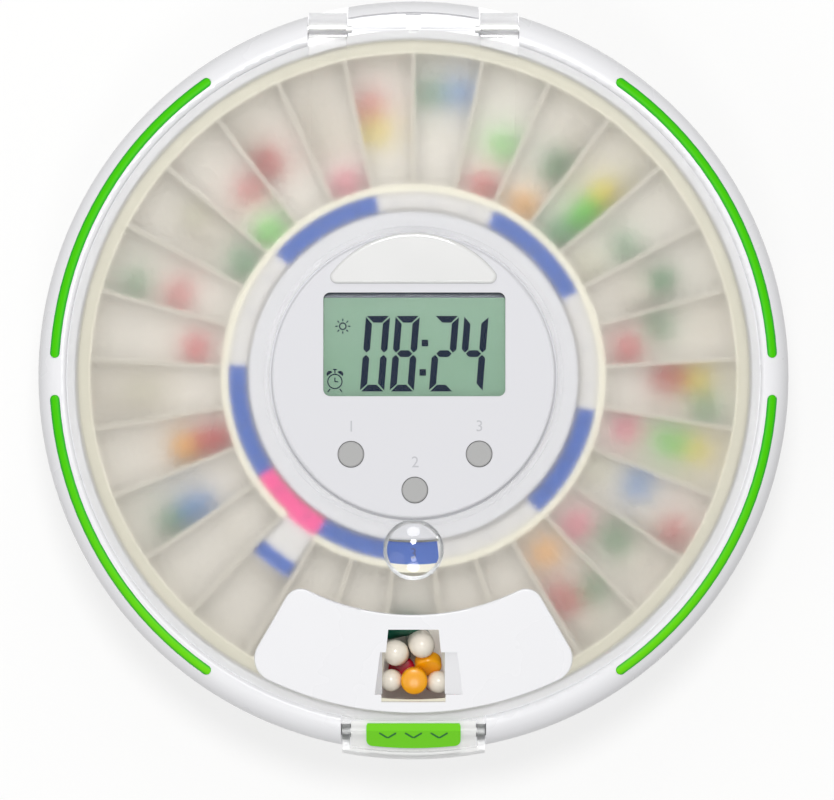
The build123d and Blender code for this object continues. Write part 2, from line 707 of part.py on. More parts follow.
with BuildPart() as drive_wheel:
    with BuildSketch(Plane(origin=(*drive_at, wheel_z))):
        with BuildLine():
            tooth_line(
                wheel_teeth, wheel_module, wheel_module * (wheel_teeth / 2 - 1.25),
                wheel_module * (wheel_teeth / 2 + 0.75), tooth_play, 180,
            )
        make_face()
        with PolarLocations(8.6, 5):
            Circle(3.2, mode=Mode.SUBTRACT)
    extrude(amount=wheel_thick)
    with BuildSketch(Plane.XY.offset(wheel_z - 1.0)):
        with Locations(drive_at):
            Circle(4.0)
    extrude(amount=wheel_thick + 1.6)
    with BuildSketch(Plane.XY.offset(wheel_z - 1.0)):
        with Locations(drive_at):
            Circle(shaft_r)
    extrude(amount=wheel_thick + 1.6, mode=Mode.SUBTRACT)
save(drive_wheel, "drive_wheel")

with BuildPart() as idler_axle:
    with BuildSketch(Plane.XY.offset(cover_top)):
        with Locations(idler_at):
            Circle(axle_r)
    extrude(amount=floor_z - cover_top)
save(idler_axle, "idler_axle")

with BuildPart() as idler_gear:
    with BuildSketch(Plane(origin=(*idler_at, big_z))):
        with BuildLine():
            tooth_line(
                big_teeth, motor_module, motor_module * (big_teeth / 2 - 1.25),
                motor_module * (big_teeth / 2 + 0.6), tooth_play, -90,
            )
        make_face()
    extrude(amount=big_thick)
    with BuildSketch(Plane(origin=(*idler_at, big_z + big_thick))):
        with BuildLine():
            tooth_line(
                pinion_teeth, wheel_module, wheel_module * (pinion_teeth / 2 - 1.25),
                wheel_module * (pinion_teeth / 2 + 0.9), tooth_play, 180 / pinion_teeth,
            )
        make_face()
    extrude(amount=wheel_z + wheel_thick + 0.6 - big_z - big_thick)
    with BuildSketch(Plane.XY.offset(big_z)):
        with Locations(idler_at):
            Circle(axle_r + spin_play)
    extrude(amount=12.0, mode=Mode.SUBTRACT)
save(idler_gear, "idler_gear")

with BuildPart() as motor:
    with BuildSketch(Plane.XY.offset(big_z + big_thick + 1.0)):
        with Locations(motor_at):
            Circle(7.5)
    extrude(amount=floor_z - 0.6 - big_z - big_thick - 1.0)
    fillet(motor.faces().sort_by(Axis.Z)[0].edges(), 0.8)
    with BuildSketch(Plane.XY.offset(big_z + big_thick + 0.4)):
        with Locations(motor_at):
            Circle(2.6)
    extrude(amount=0.6)
    with BuildSketch(Plane.XY.offset(big_z + big_thick)):
        with Locations(motor_at):
            Circle(motor_shaft_r + spin_play)
    extrude(amount=5.0, mode=Mode.SUBTRACT)
save(motor, "motor")

with BuildPart() as motor_pinion:
    with BuildSketch(Plane(origin=(*motor_at, big_z - 0.4))):
        with BuildLine():
            tooth_line(
                motor_teeth, motor_module, motor_module * (motor_teeth / 2 - 1.25),
                motor_module * (motor_teeth / 2 + 0.9), tooth_play, 90 + 180 / motor_teeth,
            )
        make_face()
        Circle(motor_shaft_r, mode=Mode.SUBTRACT)
    extrude(amount=big_thick + 0.4)
save(motor_pinion, "motor_pinion")

with BuildPart() as motor_shaft:
    with BuildSketch(Plane.XY.offset(big_z - 0.4)):
        with Locations(motor_at):
            Circle(motor_shaft_r)
    extrude(amount=big_thick + 4.0)
save(motor_shaft, "motor_shaft")

# ================================================================ index magnet and sensor, board, buzzer
with BuildPart() as index_magnet:
    with BuildSketch(Plane.XY.offset(tray_z)):
        with Locations((0, magnet_y)):
            Circle(magnet_r)
    extrude(amount=magnet_height)
save(index_magnet, "index_magnet")

with BuildPart() as index_sensor:
    with BuildSketch(Plane.XY.offset(floor_z - 1.2)):
        with Locations((0, magnet_y + 4.0)):
            Rectangle(8.0, 14.0)
    extrude(amount=1.2)
    with BuildSketch(Plane.XY.offset(floor_z - 2.7)):
        with Locations((0, magnet_y)):
            Rectangle(4.0, 3.0)
    extrude(amount=1.5)
save(index_sensor, "index_sensor")

with BuildPart() as main_board:
    with BuildSketch(Plane.XY.offset(board_z)):
        with Locations(board_at):
            Rectangle(board_w, board_l)
            with GridLocations(board_w - 8.0, board_l - 8.0, 2, 2):
                Circle(1.2, mode=Mode.SUBTRACT)
    extrude(amount=board_thick)
    with BuildSketch(Plane.XY.offset(board_z + board_thick)):
        with Locations((board_at[0] - 6.0, board_at[1] + 6.0)):
            Rectangle(9.0, 9.0)
        with Locations((board_at[0] + 10.0, board_at[1] - 8.0)):
            Rectangle(5.0, 12.0)
    extrude(amount=1.4)
    with BuildSketch(Plane.XY.offset(board_z + board_thick)):
        with Locations((board_at[0] - 8.0, board_at[1] - 17.0)):
            Rectangle(12.0, 5.0)
        with Locations((board_at[0] + 8.0, board_at[1] + 15.0)):
            Circle(3.2)
    extrude(amount=6.0)
save(main_board, "main_board")

with BuildPart() as buzzer:
    with BuildSketch(Plane.XY.offset(cover_top)):
        with Locations(buzzer_at):
            Circle(6.6)
    extrude(amount=5.0)
    with BuildSketch(Plane.XY.offset(cover_top)):
        with Locations(buzzer_at):
            Circle(5.8)
    extrude(amount=0.8, mode=Mode.SUBTRACT)
save(buzzer, "buzzer")

# ================================================================ console
with BuildPart() as console_base:
    with BuildSketch(Plane.XY.offset(console_floor_z)):
        Circle(pedestal_r - 0.1)
    extrude(amount=1.5)
    with BuildSketch(Plane.XY.offset(console_floor_z)):
        Circle(pedestal_r - pedestal_wall - 0.1)
        Circle(pedestal_r - pedestal_wall - 1.9, mode=Mode.SUBTRACT)
    extrude(amount=-4.0)
    # pillars under the board, wiring hole, screw holes
    with BuildSketch(Plane.XY.offset(console_floor_z + 1.5)):
        with Locations((-24, -10), (24, -10), (-24, 28), (24, 28)):
            Circle(2.0)
    extrude(amount=console_board_z - console_floor_z - 1.5)
    with BuildSketch(Plane.XY.offset(console_floor_z)):
        Circle(7.0)
        with Locations(*console_screw_places):
            Circle(1.4)
    extrude(amount=1.5, mode=Mode.SUBTRACT)
save(console_base, "console_base")

with BuildPart() as console_cover:
    with BuildSketch(Plane.XZ):
        with BuildLine():
            outer = Polyline((console_r, console_floor_z), (console_r, shoulder_z - 1.0))
            edge = ThreePointArc(
                outer @ 1, (console_r - 0.29, shoulder_z - 0.29), (console_r - 1.0, shoulder_z)
            )
            step = Polyline(edge @ 1, (console_face_r, shoulder_z), (console_face_r, console_top_z - 1.0))
            brow = ThreePointArc(
                step @ 1,
                (console_face_r - 0.29, console_top_z - 0.29),
                (console_face_r - 1.0, console_top_z),
            )
            Polyline(
                brow @ 1,
                (0, console_top_z),
                (0, console_top_z - face_thick),
                (console_face_r - face_thick, console_top_z - face_thick),
                (console_face_r - face_thick, shoulder_z - face_thick),
                (pedestal_r, shoulder_z - face_thick),
                (pedestal_r, console_floor_z),
                outer @ 0,
            )
        make_face()
    revolve(axis=Axis.Z)
    # posts for the screws from below
    with BuildSketch(Plane.XY.offset(console_floor_z + 1.5)):
        with Locations(*console_screw_places):
            Circle(2.8)
    extrude(amount=console_top_z - face_thick - console_floor_z - 1.5)
    with BuildSketch(Plane.XY.offset(console_floor_z + 1.5)):
        with Locations(*console_screw_places):
            Circle(1.1)
    extrude(amount=5.0, mode=Mode.SUBTRACT)
    # opening that the display's pane fills from below
    with BuildSketch(Plane.XY.offset(console_top_z - face_thick)):
        with Locations((lcd_x, lcd_y)):
            RectangleRounded(lcd_w, lcd_h, lcd_corner)
    extrude(amount=face_thick, mode=Mode.SUBTRACT)
    # key holes
    with BuildSketch(Plane.XY.offset(console_top_z - face_thick)):
        with Locations(*key_places.values()):
            Circle(key_r + key_gap)
    extrude(amount=face_thick, mode=Mode.SUBTRACT)
save(console_cover, "console_cover")

with BuildPart() as console_board:
    with BuildSketch(Plane.XY.offset(console_board_z)):
        Circle(pedestal_r - 7.0)
        with Locations(*console_screw_places):
            Circle(3.1, mode=Mode.SUBTRACT)
    extrude(amount=console_board_thick)
save(console_board, "console_board")

board_top = console_board_z + console_board_thick
with BuildPart() as key_switches:
    with BuildSketch(Plane.XY.offset(board_top)):
        with Locations(*key_places.values()):
            Rectangle(6.0, 6.0)
    extrude(amount=1.6)
    with BuildSketch(Plane.XY.offset(board_top + 1.6)):
        with Locations(*key_places.values()):
            Circle(1.7)
    extrude(amount=0.3)
save(key_switches, "key_switches")

with BuildPart() as lcd_module:
    with BuildSketch(Plane.XY.offset(board_top)):
        with Locations((lcd_x, lcd_y)):
            Rectangle(lcd_w + 4.0, lcd_h + 4.0)
    extrude(amount=lcd_module_top - board_top)
    with BuildSketch(Plane.XY.offset(lcd_module_top)):
        with Locations((lcd_x, lcd_y)):
            Rectangle(lcd_w + lcd_rim + 0.2, lcd_h + lcd_rim + 0.2)
    extrude(amount=-0.7, mode=Mode.SUBTRACT)
save(lcd_module, "lcd_module")

with BuildPart() as lcd_glass:
    with BuildSketch(Plane.XY.offset(lcd_module_top - 0.7)):
        with Locations((lcd_x, lcd_y)):
            Rectangle(lcd_w + lcd_rim, lcd_h + lcd_rim)
    extrude(amount=0.7)
save(lcd_glass, "lcd_glass")

with BuildPart() as lcd_gasket:
    with BuildSketch(Plane.XY.offset(lcd_module_top)):
        with Locations((lcd_x, lcd_y)):
            Rectangle(lcd_w + 3.0, lcd_h + 3.0)
            Rectangle(lcd_w + 0.4, lcd_h + 0.4, mode=Mode.SUBTRACT)
    extrude(amount=console_top_z - face_thick - pane_flange - lcd_module_top)
save(lcd_gasket, "lcd_gasket")

with BuildPart() as lcd_window:
    with BuildSketch(Plane.XY.offset(console_top_z - face_thick - pane_flange)):
        with Locations((lcd_x, lcd_y)):
            RectangleRounded(lcd_w + 2 * lcd_rim, lcd_h + 2 * lcd_rim, lcd_corner)
    extrude(amount=pane_flange)
    with BuildSketch(Plane.XY.offset(console_top_z - face_thick)):
        with Locations((lcd_x, lcd_y)):
            RectangleRounded(lcd_w - 0.2, lcd_h - 0.2, lcd_corner - 0.1)
    extrude(amount=face_thick - 0.1)
save(lcd_window, "lcd_window")

with BuildPart() as console_screws:
    with BuildSketch(Plane.XY.offset(console_floor_z - 1.5)):
        with Locations(*console_screw_places):
            Circle(2.4)
    extrude(amount=1.5)
    with BuildSketch(Plane.XY.offset(console_floor_z)):
        with Locations(*console_screw_places):
            Circle(1.1)
    extrude(amount=6.0)
    with BuildSketch(Plane.XY.offset(console_floor_z - 1.5)):
        with Locations(*console_screw_places):
            Rectangle(2.8, 0.6)
            Rectangle(0.6, 2.8)
    extrude(amount=0.8, mode=Mode.SUBTRACT)
save(console_screws, "console_screws")

with BuildPart() as badge:
    with BuildSketch(Plane.XY.offset(console_top_z)):
        with Locations((0, badge_arc_y)):
            Circle(badge_arc_r)
        with Locations((0, badge_low_y)):
            Rectangle(60.0, 40.0, align=(Align.CENTER, Align.MIN), mode=Mode.INTERSECT)
    extrude(amount=1.3)
    fillet(badge.edges().filter_by(Axis.Z), 2.0)
    fillet(badge.faces().sort_by(Axis.Z)[-1].edges(), 0.9)
save(badge, "badge")

for name, place in key_places.items():
    with BuildPart() as key_cap:
        with BuildSketch(Plane.XY.offset(console_top_z - face_thick - 0.1)):
            with Locations(place):
                Circle(key_r)
        extrude(amount=key_top_z - console_top_z + face_thick + 0.1)
        chamfer(key_cap.faces().sort_by(Axis.Z)[-1].edges(), 0.35)
        with BuildSketch(Plane.XY.offset(console_top_z - face_thick - 0.1)):
            with Locations(place):
                Circle(key_r + 0.9)
        extrude(amount=-0.6)
        with BuildSketch(Plane.XY.offset(console_top_z - face_thick - 0.7)):
            with Locations(place):
                Circle(1.4)
        extrude(amount=-(console_top_z - face_thick - 0.7 - board_top - 1.9 - key_travel - 0.1))
    save(key_cap, f"button_{name}")

# ================================================================ lid
with BuildPart() as lid_panel:
    with BuildSketch(Plane.XZ):
        with BuildLine():
            Polyline(
                (lid_hole_r, lid_under + 0.5),
                (lid_hole_r + 0.5, lid_under),
                (well_r - 0.6, lid_under),
                (well_r, lid_edge_z),
                (lid_r, lid_edge_z),
                (lid_r, lid_rim_z),
                (lid_band_r, lid_top_z),
                (lid_hole_r + 1.8, lid_top_z),
            )
            ThreePointArc(
                (lid_hole_r + 1.8, lid_top_z),
                (lid_hole_r + 0.5, lid_top_z + 0.45),
                (lid_hole_r, lid_top_z - 0.3),
            )
            Line((lid_hole_r, lid_top_z - 0.3), (lid_hole_r, lid_under + 0.5))
        make_face()
    revolve(axis=Axis.Z)
    # hinge arms
    for side in (-1, 1):
        with BuildSketch(Plane.YZ.offset(side * arm_x - arm_width / 2)):
            with BuildLine():
                Polyline(
                    (hinge_y - 9.5, lid_under + 0.4),
                    (hinge_y - 9.5, lid_top_z + 0.3),
                    (hinge_y - 3.0, lid_top_z + 0.3),
                )
                ThreePointArc(
                    (hinge_y - 3.0, lid_top_z + 0.3),
                    (hinge_y + 1.7, hinge_z + 2.9),
                    (arm_tail_y, hinge_z - 1.0),
                )
                Polyline(
                    (arm_tail_y, hinge_z - 1.0),
                    (arm_tail_y, hinge_z - 1.7),
                    (hinge_y + 1.8, hinge_z - 2.4),
                )
                ThreePointArc(
                    (hinge_y + 1.8, hinge_z - 2.4),
                    (hinge_y - 0.7, hinge_z - sqrt(9.0 - 0.49)),
                    (hinge_y - 2.5, hinge_z + 1.1),
                )
                Polyline(
                    (hinge_y - 2.5, hinge_z + 1.1),
                    (hinge_y - 5.5, hinge_z + 1.1),
                    (hinge_y - 9.5, lid_under + 0.4),
                )
            make_face()
        extrude(amount=arm_width)
    with BuildSketch(Plane.YZ.offset(-arm_x - arm_width)):
        with Locations((hinge_y, hinge_z)):
            Circle(hinge_pin_r + spin_play)
    extrude(amount=2 * (arm_x + arm_width), mode=Mode.SUBTRACT)
    # ridges that run on from the arms' outer edges, and the nub between the arms
    ridge_x = arm_x + arm_width / 2 - ridge_width / 2
    with BuildSketch(Plane.XY.offset(lid_top_z - 0.8)):
        with Locations((-ridge_x, ridge_in_y), (ridge_x, ridge_in_y)):
            Rectangle(ridge_width, hinge_y - 9.0 - ridge_in_y, align=(Align.CENTER, Align.MIN))
    extrude(amount=0.8 + ridge_height)
    with BuildSketch(Plane.XY.offset(lid_edge_z + 0.1)):
        with Locations((0, nub_y)):
            Circle(nub_r)
    extrude(amount=lid_rim_z + 0.5 - lid_edge_z - 0.1)
    # front tab: a wedge of the rim's shape, trimmed to width, then opened for the latch key
    with BuildSketch(radial(-90 - 12)):
        with BuildLine():
            Polyline(
                (lid_r - 2.5, lid_edge_z),
                (lid_r - 2.5, lid_rim_z),
                (crest_r, lid_rim_z),
            )
            ThreePointArc((crest_r, lid_rim_z), (frame_r - 2.4, lid_rim_z - 2.6), (frame_r, split_z + 3.0))
            Polyline(
                (frame_r, split_z + 3.0),
                (frame_r, split_z + 0.4),
                (lid_r + 0.9, split_z + 0.4),
                (lid_r + 0.9, lid_edge_z),
                (lid_r - 2.5, lid_edge_z),
            )
        make_face()
    revolve(axis=Axis.Z, revolution_arc=24)
    frame_half = latch_half + frame_gap + frame_cheek
    with BuildSketch(Plane.XY.offset(split_z)):
        with Locations((-frame_half - 10.0, -lid_r - 5.0), (frame_half + 10.0, -lid_r - 5.0)):
            Rectangle(20.0, 20.0)
        Circle(lid_r, mode=Mode.SUBTRACT)
    extrude(amount=12.0, mode=Mode.SUBTRACT)
    with BuildSketch(Plane.XY.offset(split_z)):
        Circle(frame_r - frame_bar)
        with Locations((0, key_in_y + frame_gap)):
            Rectangle(2 * (latch_half + frame_gap), 30.0, align=(Align.CENTER, Align.MAX),
                      mode=Mode.INTERSECT)
    extrude(amount=14.0, mode=Mode.SUBTRACT)
    # clear of the front ledge below the tab's cheeks
    with BuildSketch(Plane.XY.offset(split_z)):
        with Locations((0, -seat_r - 0.1 - run_gap)):
            Rectangle(60.0, 20.0, align=(Align.CENTER, Align.MIN))
    extrude(amount=lid_edge_z - split_z, mode=Mode.SUBTRACT)
    # hole of the latch pin
    with BuildSketch(Plane.YZ.offset(-30.0)):
        with Locations((latch_pivot_y, latch_pivot_z)):
            Circle(latch_pin_r)
    extrude(amount=60.0, mode=Mode.SUBTRACT)
    # dispensing window and the lens seat
    with BuildSketch(Plane.XY.offset(lid_under - 1.0)):
        with BuildLine():
            window_line(collar_wall)
        make_face()
        with Locations((0, lens_y)):
            Circle(lens_plug_r)
    extrude(amount=6.0, mode=Mode.SUBTRACT)
    with BuildSketch(Plane.XY.offset(lid_top_z)):
        with Locations((0, lens_y)):
            Circle(lens_r + 0.05)
    extrude(amount=3.0, mode=Mode.SUBTRACT)
save(lid_panel, "lid_panel")

# sloping floors of the window's two side bays
with BuildPart() as bay_ramps:
    for side, bay in ((-1, bay_left), (1, bay_right)):
        with BuildSketch(Plane.XZ.offset(-bay_in_y)):
            with BuildLine():
                Polyline(
                    (side * (window_out_half - 0.2), lid_under - 0.8),
                    (side * (bay[1] + 0.4), lid_top_z + shield_thick - 0.6),
                    (side * (bay[1] + 0.4), lid_under - 0.8),
                    close=True,
                )
            make_face()
        extrude(amount=bay_in_y - bay_out_y)
    with BuildSketch(Plane.XY.offset(lid_under - 1.0)):
        with BuildLine():
            window_line(0.5)
        make_face()
    extrude(amount=8.0, mode=Mode.INTERSECT)

with BuildPart() as dispense_shield:
    with BuildSketch(Plane.XY.offset(lid_top_z - 1.2)):
        Circle(shield_out_r)
        Circle(shield_in_r, mode=Mode.SUBTRACT)
        with BuildLine(mode=Mode.PRIVATE) as wedge:
            Polyline(
                (0, 0),
                polar(150.0, radians(-90 - shield_half)),
                polar(150.0, radians(-90 + shield_half)),
                close=True,
            )
        make_face(wedge.edges(), mode=Mode.INTERSECT)
    extrude(amount=1.2 + shield_thick)
    tall = dispense_shield.edges().filter_by(Axis.Z)
    fillet(tall.sort_by(lambda e: hypot(e.center().X, e.center().Y))[-2:], 7.0)
    tall = dispense_shield.edges().filter_by(Axis.Z)
    fillet(tall.sort_by(lambda e: hypot(e.center().X, e.center().Y))[:2], 5.0)
    fillet(dispense_shield.faces().sort_by(Axis.Z)[-1].edges(), 0.5)
    # underside follows the lid's top
    with BuildSketch(Plane.XZ):
        with BuildLine():
            Polyline(
                (shield_in_r - 5.0, lid_top_z - 3.0),
                (shield_in_r - 5.0, lid_top_z),
                (lid_band_r, lid_top_z),
                (lid_r, lid_rim_z),
                (lid_r, lid_top_z - 3.0),
                close=True,
            )
        make_face()
    revolve(axis=Axis.Z, mode=Mode.SUBTRACT)
    # collar through the lid
    with BuildSketch(Plane.XY.offset(lid_under - 1.0)):
        with BuildLine():
            window_line(collar_wall)
        make_face()
    extrude(amount=shield_thick + lid_thick + 0.8)
    with BuildSketch(Plane.XY.offset(lid_under - 1.0)):
        with BuildLine():
            window_line(0.0)
        make_face()
    extrude(amount=8.0, mode=Mode.SUBTRACT)
    add(bay_ramps.part)
save(dispense_shield, "dispense_shield")

with BuildPart() as magnifier_lens:
    with BuildSketch(Plane(origin=(0, lens_y, 0), x_dir=(1, 0, 0), z_dir=(0, -1, 0))):
        with BuildLine():
            Polyline(
                (0, lid_under),
                (lens_plug_r, lid_under),
                (lens_plug_r, lid_top_z),
                (lens_r, lid_top_z),
                (lens_r, lid_top_z + 0.6),
                (lens_plug_r + 0.5, lid_top_z + 1.0),
            )
            dome_r = ((lens_plug_r + 0.5) ** 2 + (lens_height - 1.0) ** 2) / (2 * (lens_height - 1.0))
            half_dome = degrees(asin((lens_plug_r + 0.5) / dome_r))
            CenterArc((0, lid_top_z + lens_height - dome_r), dome_r, 90 - half_dome, half_dome)
            Line((0, lid_top_z + lens_height), (0, lid_under))
        make_face()
    revolve(axis=Axis((0, lens_y, 0), (0, 0, 1)))
save(magnifier_lens, "magnifier_lens")

with BuildPart() as hinge_pins:
    for low in (-arm_x - 7.0, arm_x - 7.0):
        with BuildSketch(Plane.YZ.offset(low)):
            with Locations((hinge_y, hinge_z)):
                Circle(hinge_pin_r)
        extrude(amount=14.0)
save(hinge_pins, "hinge_pins")

# ================================================================ latch
with BuildPart() as latch_key:
    with BuildSketch(Plane.YZ.offset(-latch_half)):
        with BuildLine():
            Polyline(
                (key_in_y, lid_edge_z + 0.3),
                (key_in_y, lid_rim_z - 0.1),
                (latch_pivot_y + 0.2, lid_rim_z - 0.1),
                (-key_out_r, lid_rim_z - 0.1 - pad_slope),
                (-key_out_r, lid_rim_z - 5.2),
                (latch_pivot_y - 2.2, latch_pivot_z + 0.3),
                (latch_pivot_y - 1.4, latch_pivot_z - 1.6),
                (latch_pivot_y + 1.2, latch_pivot_z - 1.6),
                (latch_pivot_y + 1.7, latch_pivot_z + 0.3),
                (latch_pivot_y + 1.7, lid_edge_z + 0.3),
                close=True,
            )
        make_face()
    extrude(amount=2 * latch_half)
    with BuildSketch(Plane.XY.offset(pocket_z)):
        Circle(key_out_r)
    extrude(amount=20.0, mode=Mode.INTERSECT)
    # hook
    with BuildSketch(Plane.YZ.offset(-4.5)):
        with BuildLine():
            Polyline(
                (latch_pivot_y - 2.2, latch_pivot_z - 1.0),
                (latch_pivot_y - 1.0, latch_pivot_z - 1.4),
                (latch_pivot_y - 1.0, hook_z - 1.2),
                (latch_pivot_y - 2.6, hook_z - 1.2),
                (latch_pivot_y - 3.7, hook_z - 0.6),
                (latch_pivot_y - 3.7, hook_z),
                (latch_pivot_y - 2.4, hook_z),
                close=True,
            )
        make_face()
    extrude(amount=9.0)
    with BuildSketch(Plane.YZ.offset(-latch_half - 1.0)):
        with Locations((latch_pivot_y, latch_pivot_z)):
            Circle(latch_pin_r + spin_play)
    extrude(amount=2 * latch_half + 2.0, mode=Mode.SUBTRACT)
save(latch_key, "latch_key")

with BuildPart() as latch_pin:
    with BuildSketch(Plane.YZ.offset(-frame_half)):
        with Locations((latch_pivot_y, latch_pivot_z)):
            Circle(latch_pin_r)
    extrude(amount=2 * frame_half)
save(latch_pin, "latch_pin")

crease_y = latch_pivot_y + 0.2
pad_drop = pad_slope * (pad_out_r + crease_y) / (key_out_r + crease_y)
with BuildPart() as latch_pad:
    with BuildSketch(Plane.YZ.offset(-pad_half)):
        with BuildLine():
            Polyline(
                (key_in_y - 0.6, lid_rim_z - 0.1),
                (key_in_y - 0.6, lid_rim_z + 0.7),
                (latch_pivot_y + 0.2, lid_rim_z + 0.7),
                (-pad_out_r, lid_rim_z + 0.75 - pad_drop),
                (-pad_out_r, lid_rim_z - 0.1 - pad_drop),
                (latch_pivot_y + 0.2, lid_rim_z - 0.1),
                close=True,
            )
        make_face()
    extrude(amount=2 * pad_half)
    with BuildSketch(Plane.XY.offset(lid_edge_z - 6.0)) as pad_plan:
        Circle(pad_out_r)
        Circle(-key_in_y + 0.6, mode=Mode.SUBTRACT)
        with Locations((0, -105.0)):
            Rectangle(2 * pad_half, 30.0, mode=Mode.INTERSECT)
        fillet(pad_plan.vertices(), pad_corner)
    extrude(amount=12.0, mode=Mode.INTERSECT)
save(latch_pad, "latch_pad")
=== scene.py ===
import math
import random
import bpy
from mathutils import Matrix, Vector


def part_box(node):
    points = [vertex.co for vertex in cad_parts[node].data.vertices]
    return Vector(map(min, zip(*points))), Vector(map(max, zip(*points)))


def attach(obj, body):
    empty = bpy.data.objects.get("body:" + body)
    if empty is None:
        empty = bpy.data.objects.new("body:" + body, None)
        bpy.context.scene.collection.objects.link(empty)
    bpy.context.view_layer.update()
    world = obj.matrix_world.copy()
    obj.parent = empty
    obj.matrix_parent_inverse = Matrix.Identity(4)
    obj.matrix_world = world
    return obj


bl_info = {
    "name": "Pill Dispenser",
    "version": (1, 0, 0),
    "blender": (4, 5, 0),
    "location": "View3D > Sidebar > Dispenser",
    "description": "Dresses the automatic pill dispenser: finishes, display, numbers, doses and studio",
    "category": "Object",
}

import bpy
from bpy.props import FloatProperty, FloatVectorProperty, IntProperty, PointerProperty, StringProperty
from mathutils import Matrix, Vector

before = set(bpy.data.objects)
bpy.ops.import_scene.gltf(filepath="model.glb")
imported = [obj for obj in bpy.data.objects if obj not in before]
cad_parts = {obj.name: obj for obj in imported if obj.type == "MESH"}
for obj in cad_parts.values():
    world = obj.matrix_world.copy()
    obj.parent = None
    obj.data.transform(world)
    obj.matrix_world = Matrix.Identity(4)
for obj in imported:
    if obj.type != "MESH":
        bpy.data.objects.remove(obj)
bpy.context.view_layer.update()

# the scene's unit is the metre
MM = 0.001
# compartments of the carousel, the degrees that one takes, and where the first one stands: at the front
SECTORS = 29
SECTOR = 360 / SECTORS
FRONT = -90


def sector_angle(number):
    """Middle of a compartment in radians, counted clockwise from the front."""
    return math.radians(FRONT - number * SECTOR)


def on_white(number):
    """True where the dose ring's band is white: from number 8 on, three in every six."""
    return number >= 8 and (number - 8) % 6 < 3


# ---------------------------------------------------------------- settings
class DisplaySettings(bpy.types.PropertyGroup):
    """Sizes of the clock display's figures"""

    time_text: StringProperty(name="Time", description="Four digits shown on the display", default="0824")
    digit_height: FloatProperty(
        name="Digit height", description="Height of one digit", default=22.0 * MM, unit="LENGTH"
    )
    digit_width: FloatProperty(
        name="Digit width", description="Width of one digit", default=7.05 * MM, unit="LENGTH"
    )
    stroke: FloatProperty(
        name="Stroke", description="Width of a digit's stroke", default=1.95 * MM, unit="LENGTH"
    )
    slant: FloatProperty(
        name="Slant", description="How far the digits lean", default=math.radians(4.6), subtype="ANGLE"
    )
    gap: FloatProperty(
        name="Gap", description="Gap between two bars of a digit", default=0.43 * MM, unit="LENGTH"
    )
    ink: FloatVectorProperty(
        name="Ink", description="Colour of the dark segments", default=(0.010, 0.018, 0.040),
        subtype="COLOR", min=0, max=1,
    )


class DoseSettings(bpy.types.PropertyGroup):
    """The tablets and capsules in the carousel"""

    capsule_length: FloatProperty(
        name="Capsule length", description="Overall length of a capsule", default=19.0 * MM, unit="LENGTH"
    )
    capsule_radius: FloatProperty(
        name="Capsule radius", description="Radius of a capsule", default=3.5 * MM, unit="LENGTH"
    )
    tablet_radius: FloatProperty(
        name="Tablet radius", description="Radius of a round tablet", default=4.2 * MM, unit="LENGTH"
    )
    tablet_height: FloatProperty(
        name="Tablet height", description="Thickness of a round tablet", default=3.6 * MM, unit="LENGTH"
    )
    seed: IntProperty(name="Seed", description="Seed of the doses' arrangement", default=11, min=0)


class FinishSettings(bpy.types.PropertyGroup):
    """Main colours of the mouldings, and the lid's frost"""

    shell_white: FloatVectorProperty(
        name="Shell", description="White of the housing and rim", default=(0.92, 0.92, 0.94),
        subtype="COLOR", min=0, max=1,
    )
    console_white: FloatVectorProperty(
        name="Console", description="White of the console", default=(0.77, 0.77, 0.80),
        subtype="COLOR", min=0, max=1,
    )
    tray_beige: FloatVectorProperty(
        name="Carousel", description="Off-white of the carousel", default=(0.93, 0.875, 0.785),
        subtype="COLOR", min=0, max=1,
    )
    guide_green: FloatVectorProperty(
        name="Light guide", description="Green of the lit rim", default=(0.055, 0.52, 0.0),
        subtype="COLOR", min=0, max=1,
    )
    frost: FloatProperty(
        name="Frost", description="Roughness of the lid's frosted field", default=0.60, min=0, max=1
    )


class StudioSettings(bpy.types.PropertyGroup):
    """Camera and lights"""

    camera_height: FloatProperty(
        name="Camera height", description="Camera above the rim", default=1.2, unit="LENGTH"
    )
    frame_width: FloatProperty(
        name="Frame width", description="Width seen at the rim's height", default=0.2432, unit="LENGTH"
    )
    key_power: FloatProperty(
        name="Key light", description="Power of the main soft light", default=9.0, unit="POWER"
    )


class DispenserSettings(bpy.types.PropertyGroup):
    """Everything a user may set"""

    display: PointerProperty(type=DisplaySettings, name="Display", description="Clock display")
    doses: PointerProperty(type=DoseSettings, name="Doses", description="Tablets and capsules")
    finish: PointerProperty(type=FinishSettings, name="Finish", description="Colours of the mouldings")
    studio: PointerProperty(type=StudioSettings, name="Studio", description="Camera and lights")


def settings():
    return bpy.context.scene.pill_dispenser


# ---------------------------------------------------------------- shader helpers and groups
def plug(tree, value, socket):
    """Links an output to a socket, or sets the socket to a plain value."""
    if isinstance(value, bpy.types.NodeSocket):
        tree.links.new(value, socket)
    else:
        socket.default_value = value


def fill(tree, node, **values):
    """Plugs a node's inputs by their names, written with _ for each space."""
    for title, value in values.items():
        plug(tree, value, node.inputs[title.replace("_", " ")])
    return node


def add_node(tree, kind, **values):
    return fill(tree, tree.nodes.new("ShaderNode" + kind), **values)


def place_group(tree, group, **values):
    node = tree.nodes.new("ShaderNodeGroup")
    node.node_tree = group
    return fill(tree, node, **values)


def math_node(tree, operation, *values):
    node = tree.nodes.new("ShaderNodeMath")
    node.operation = operation
    for value, socket in zip(values, node.inputs):
        plug(tree, value, socket)
    return node.outputs[0]


def blend(tree, share, first, second):
    """The colour between two colours."""
    node = tree.nodes.new("ShaderNodeMix")
    node.data_type = "RGBA"
    return fill(tree, node, Factor=share, A=first, B=second).outputs["Result"]


def object_place(tree):
    return tree.nodes.new("ShaderNodeTexCoord").outputs["Object"]


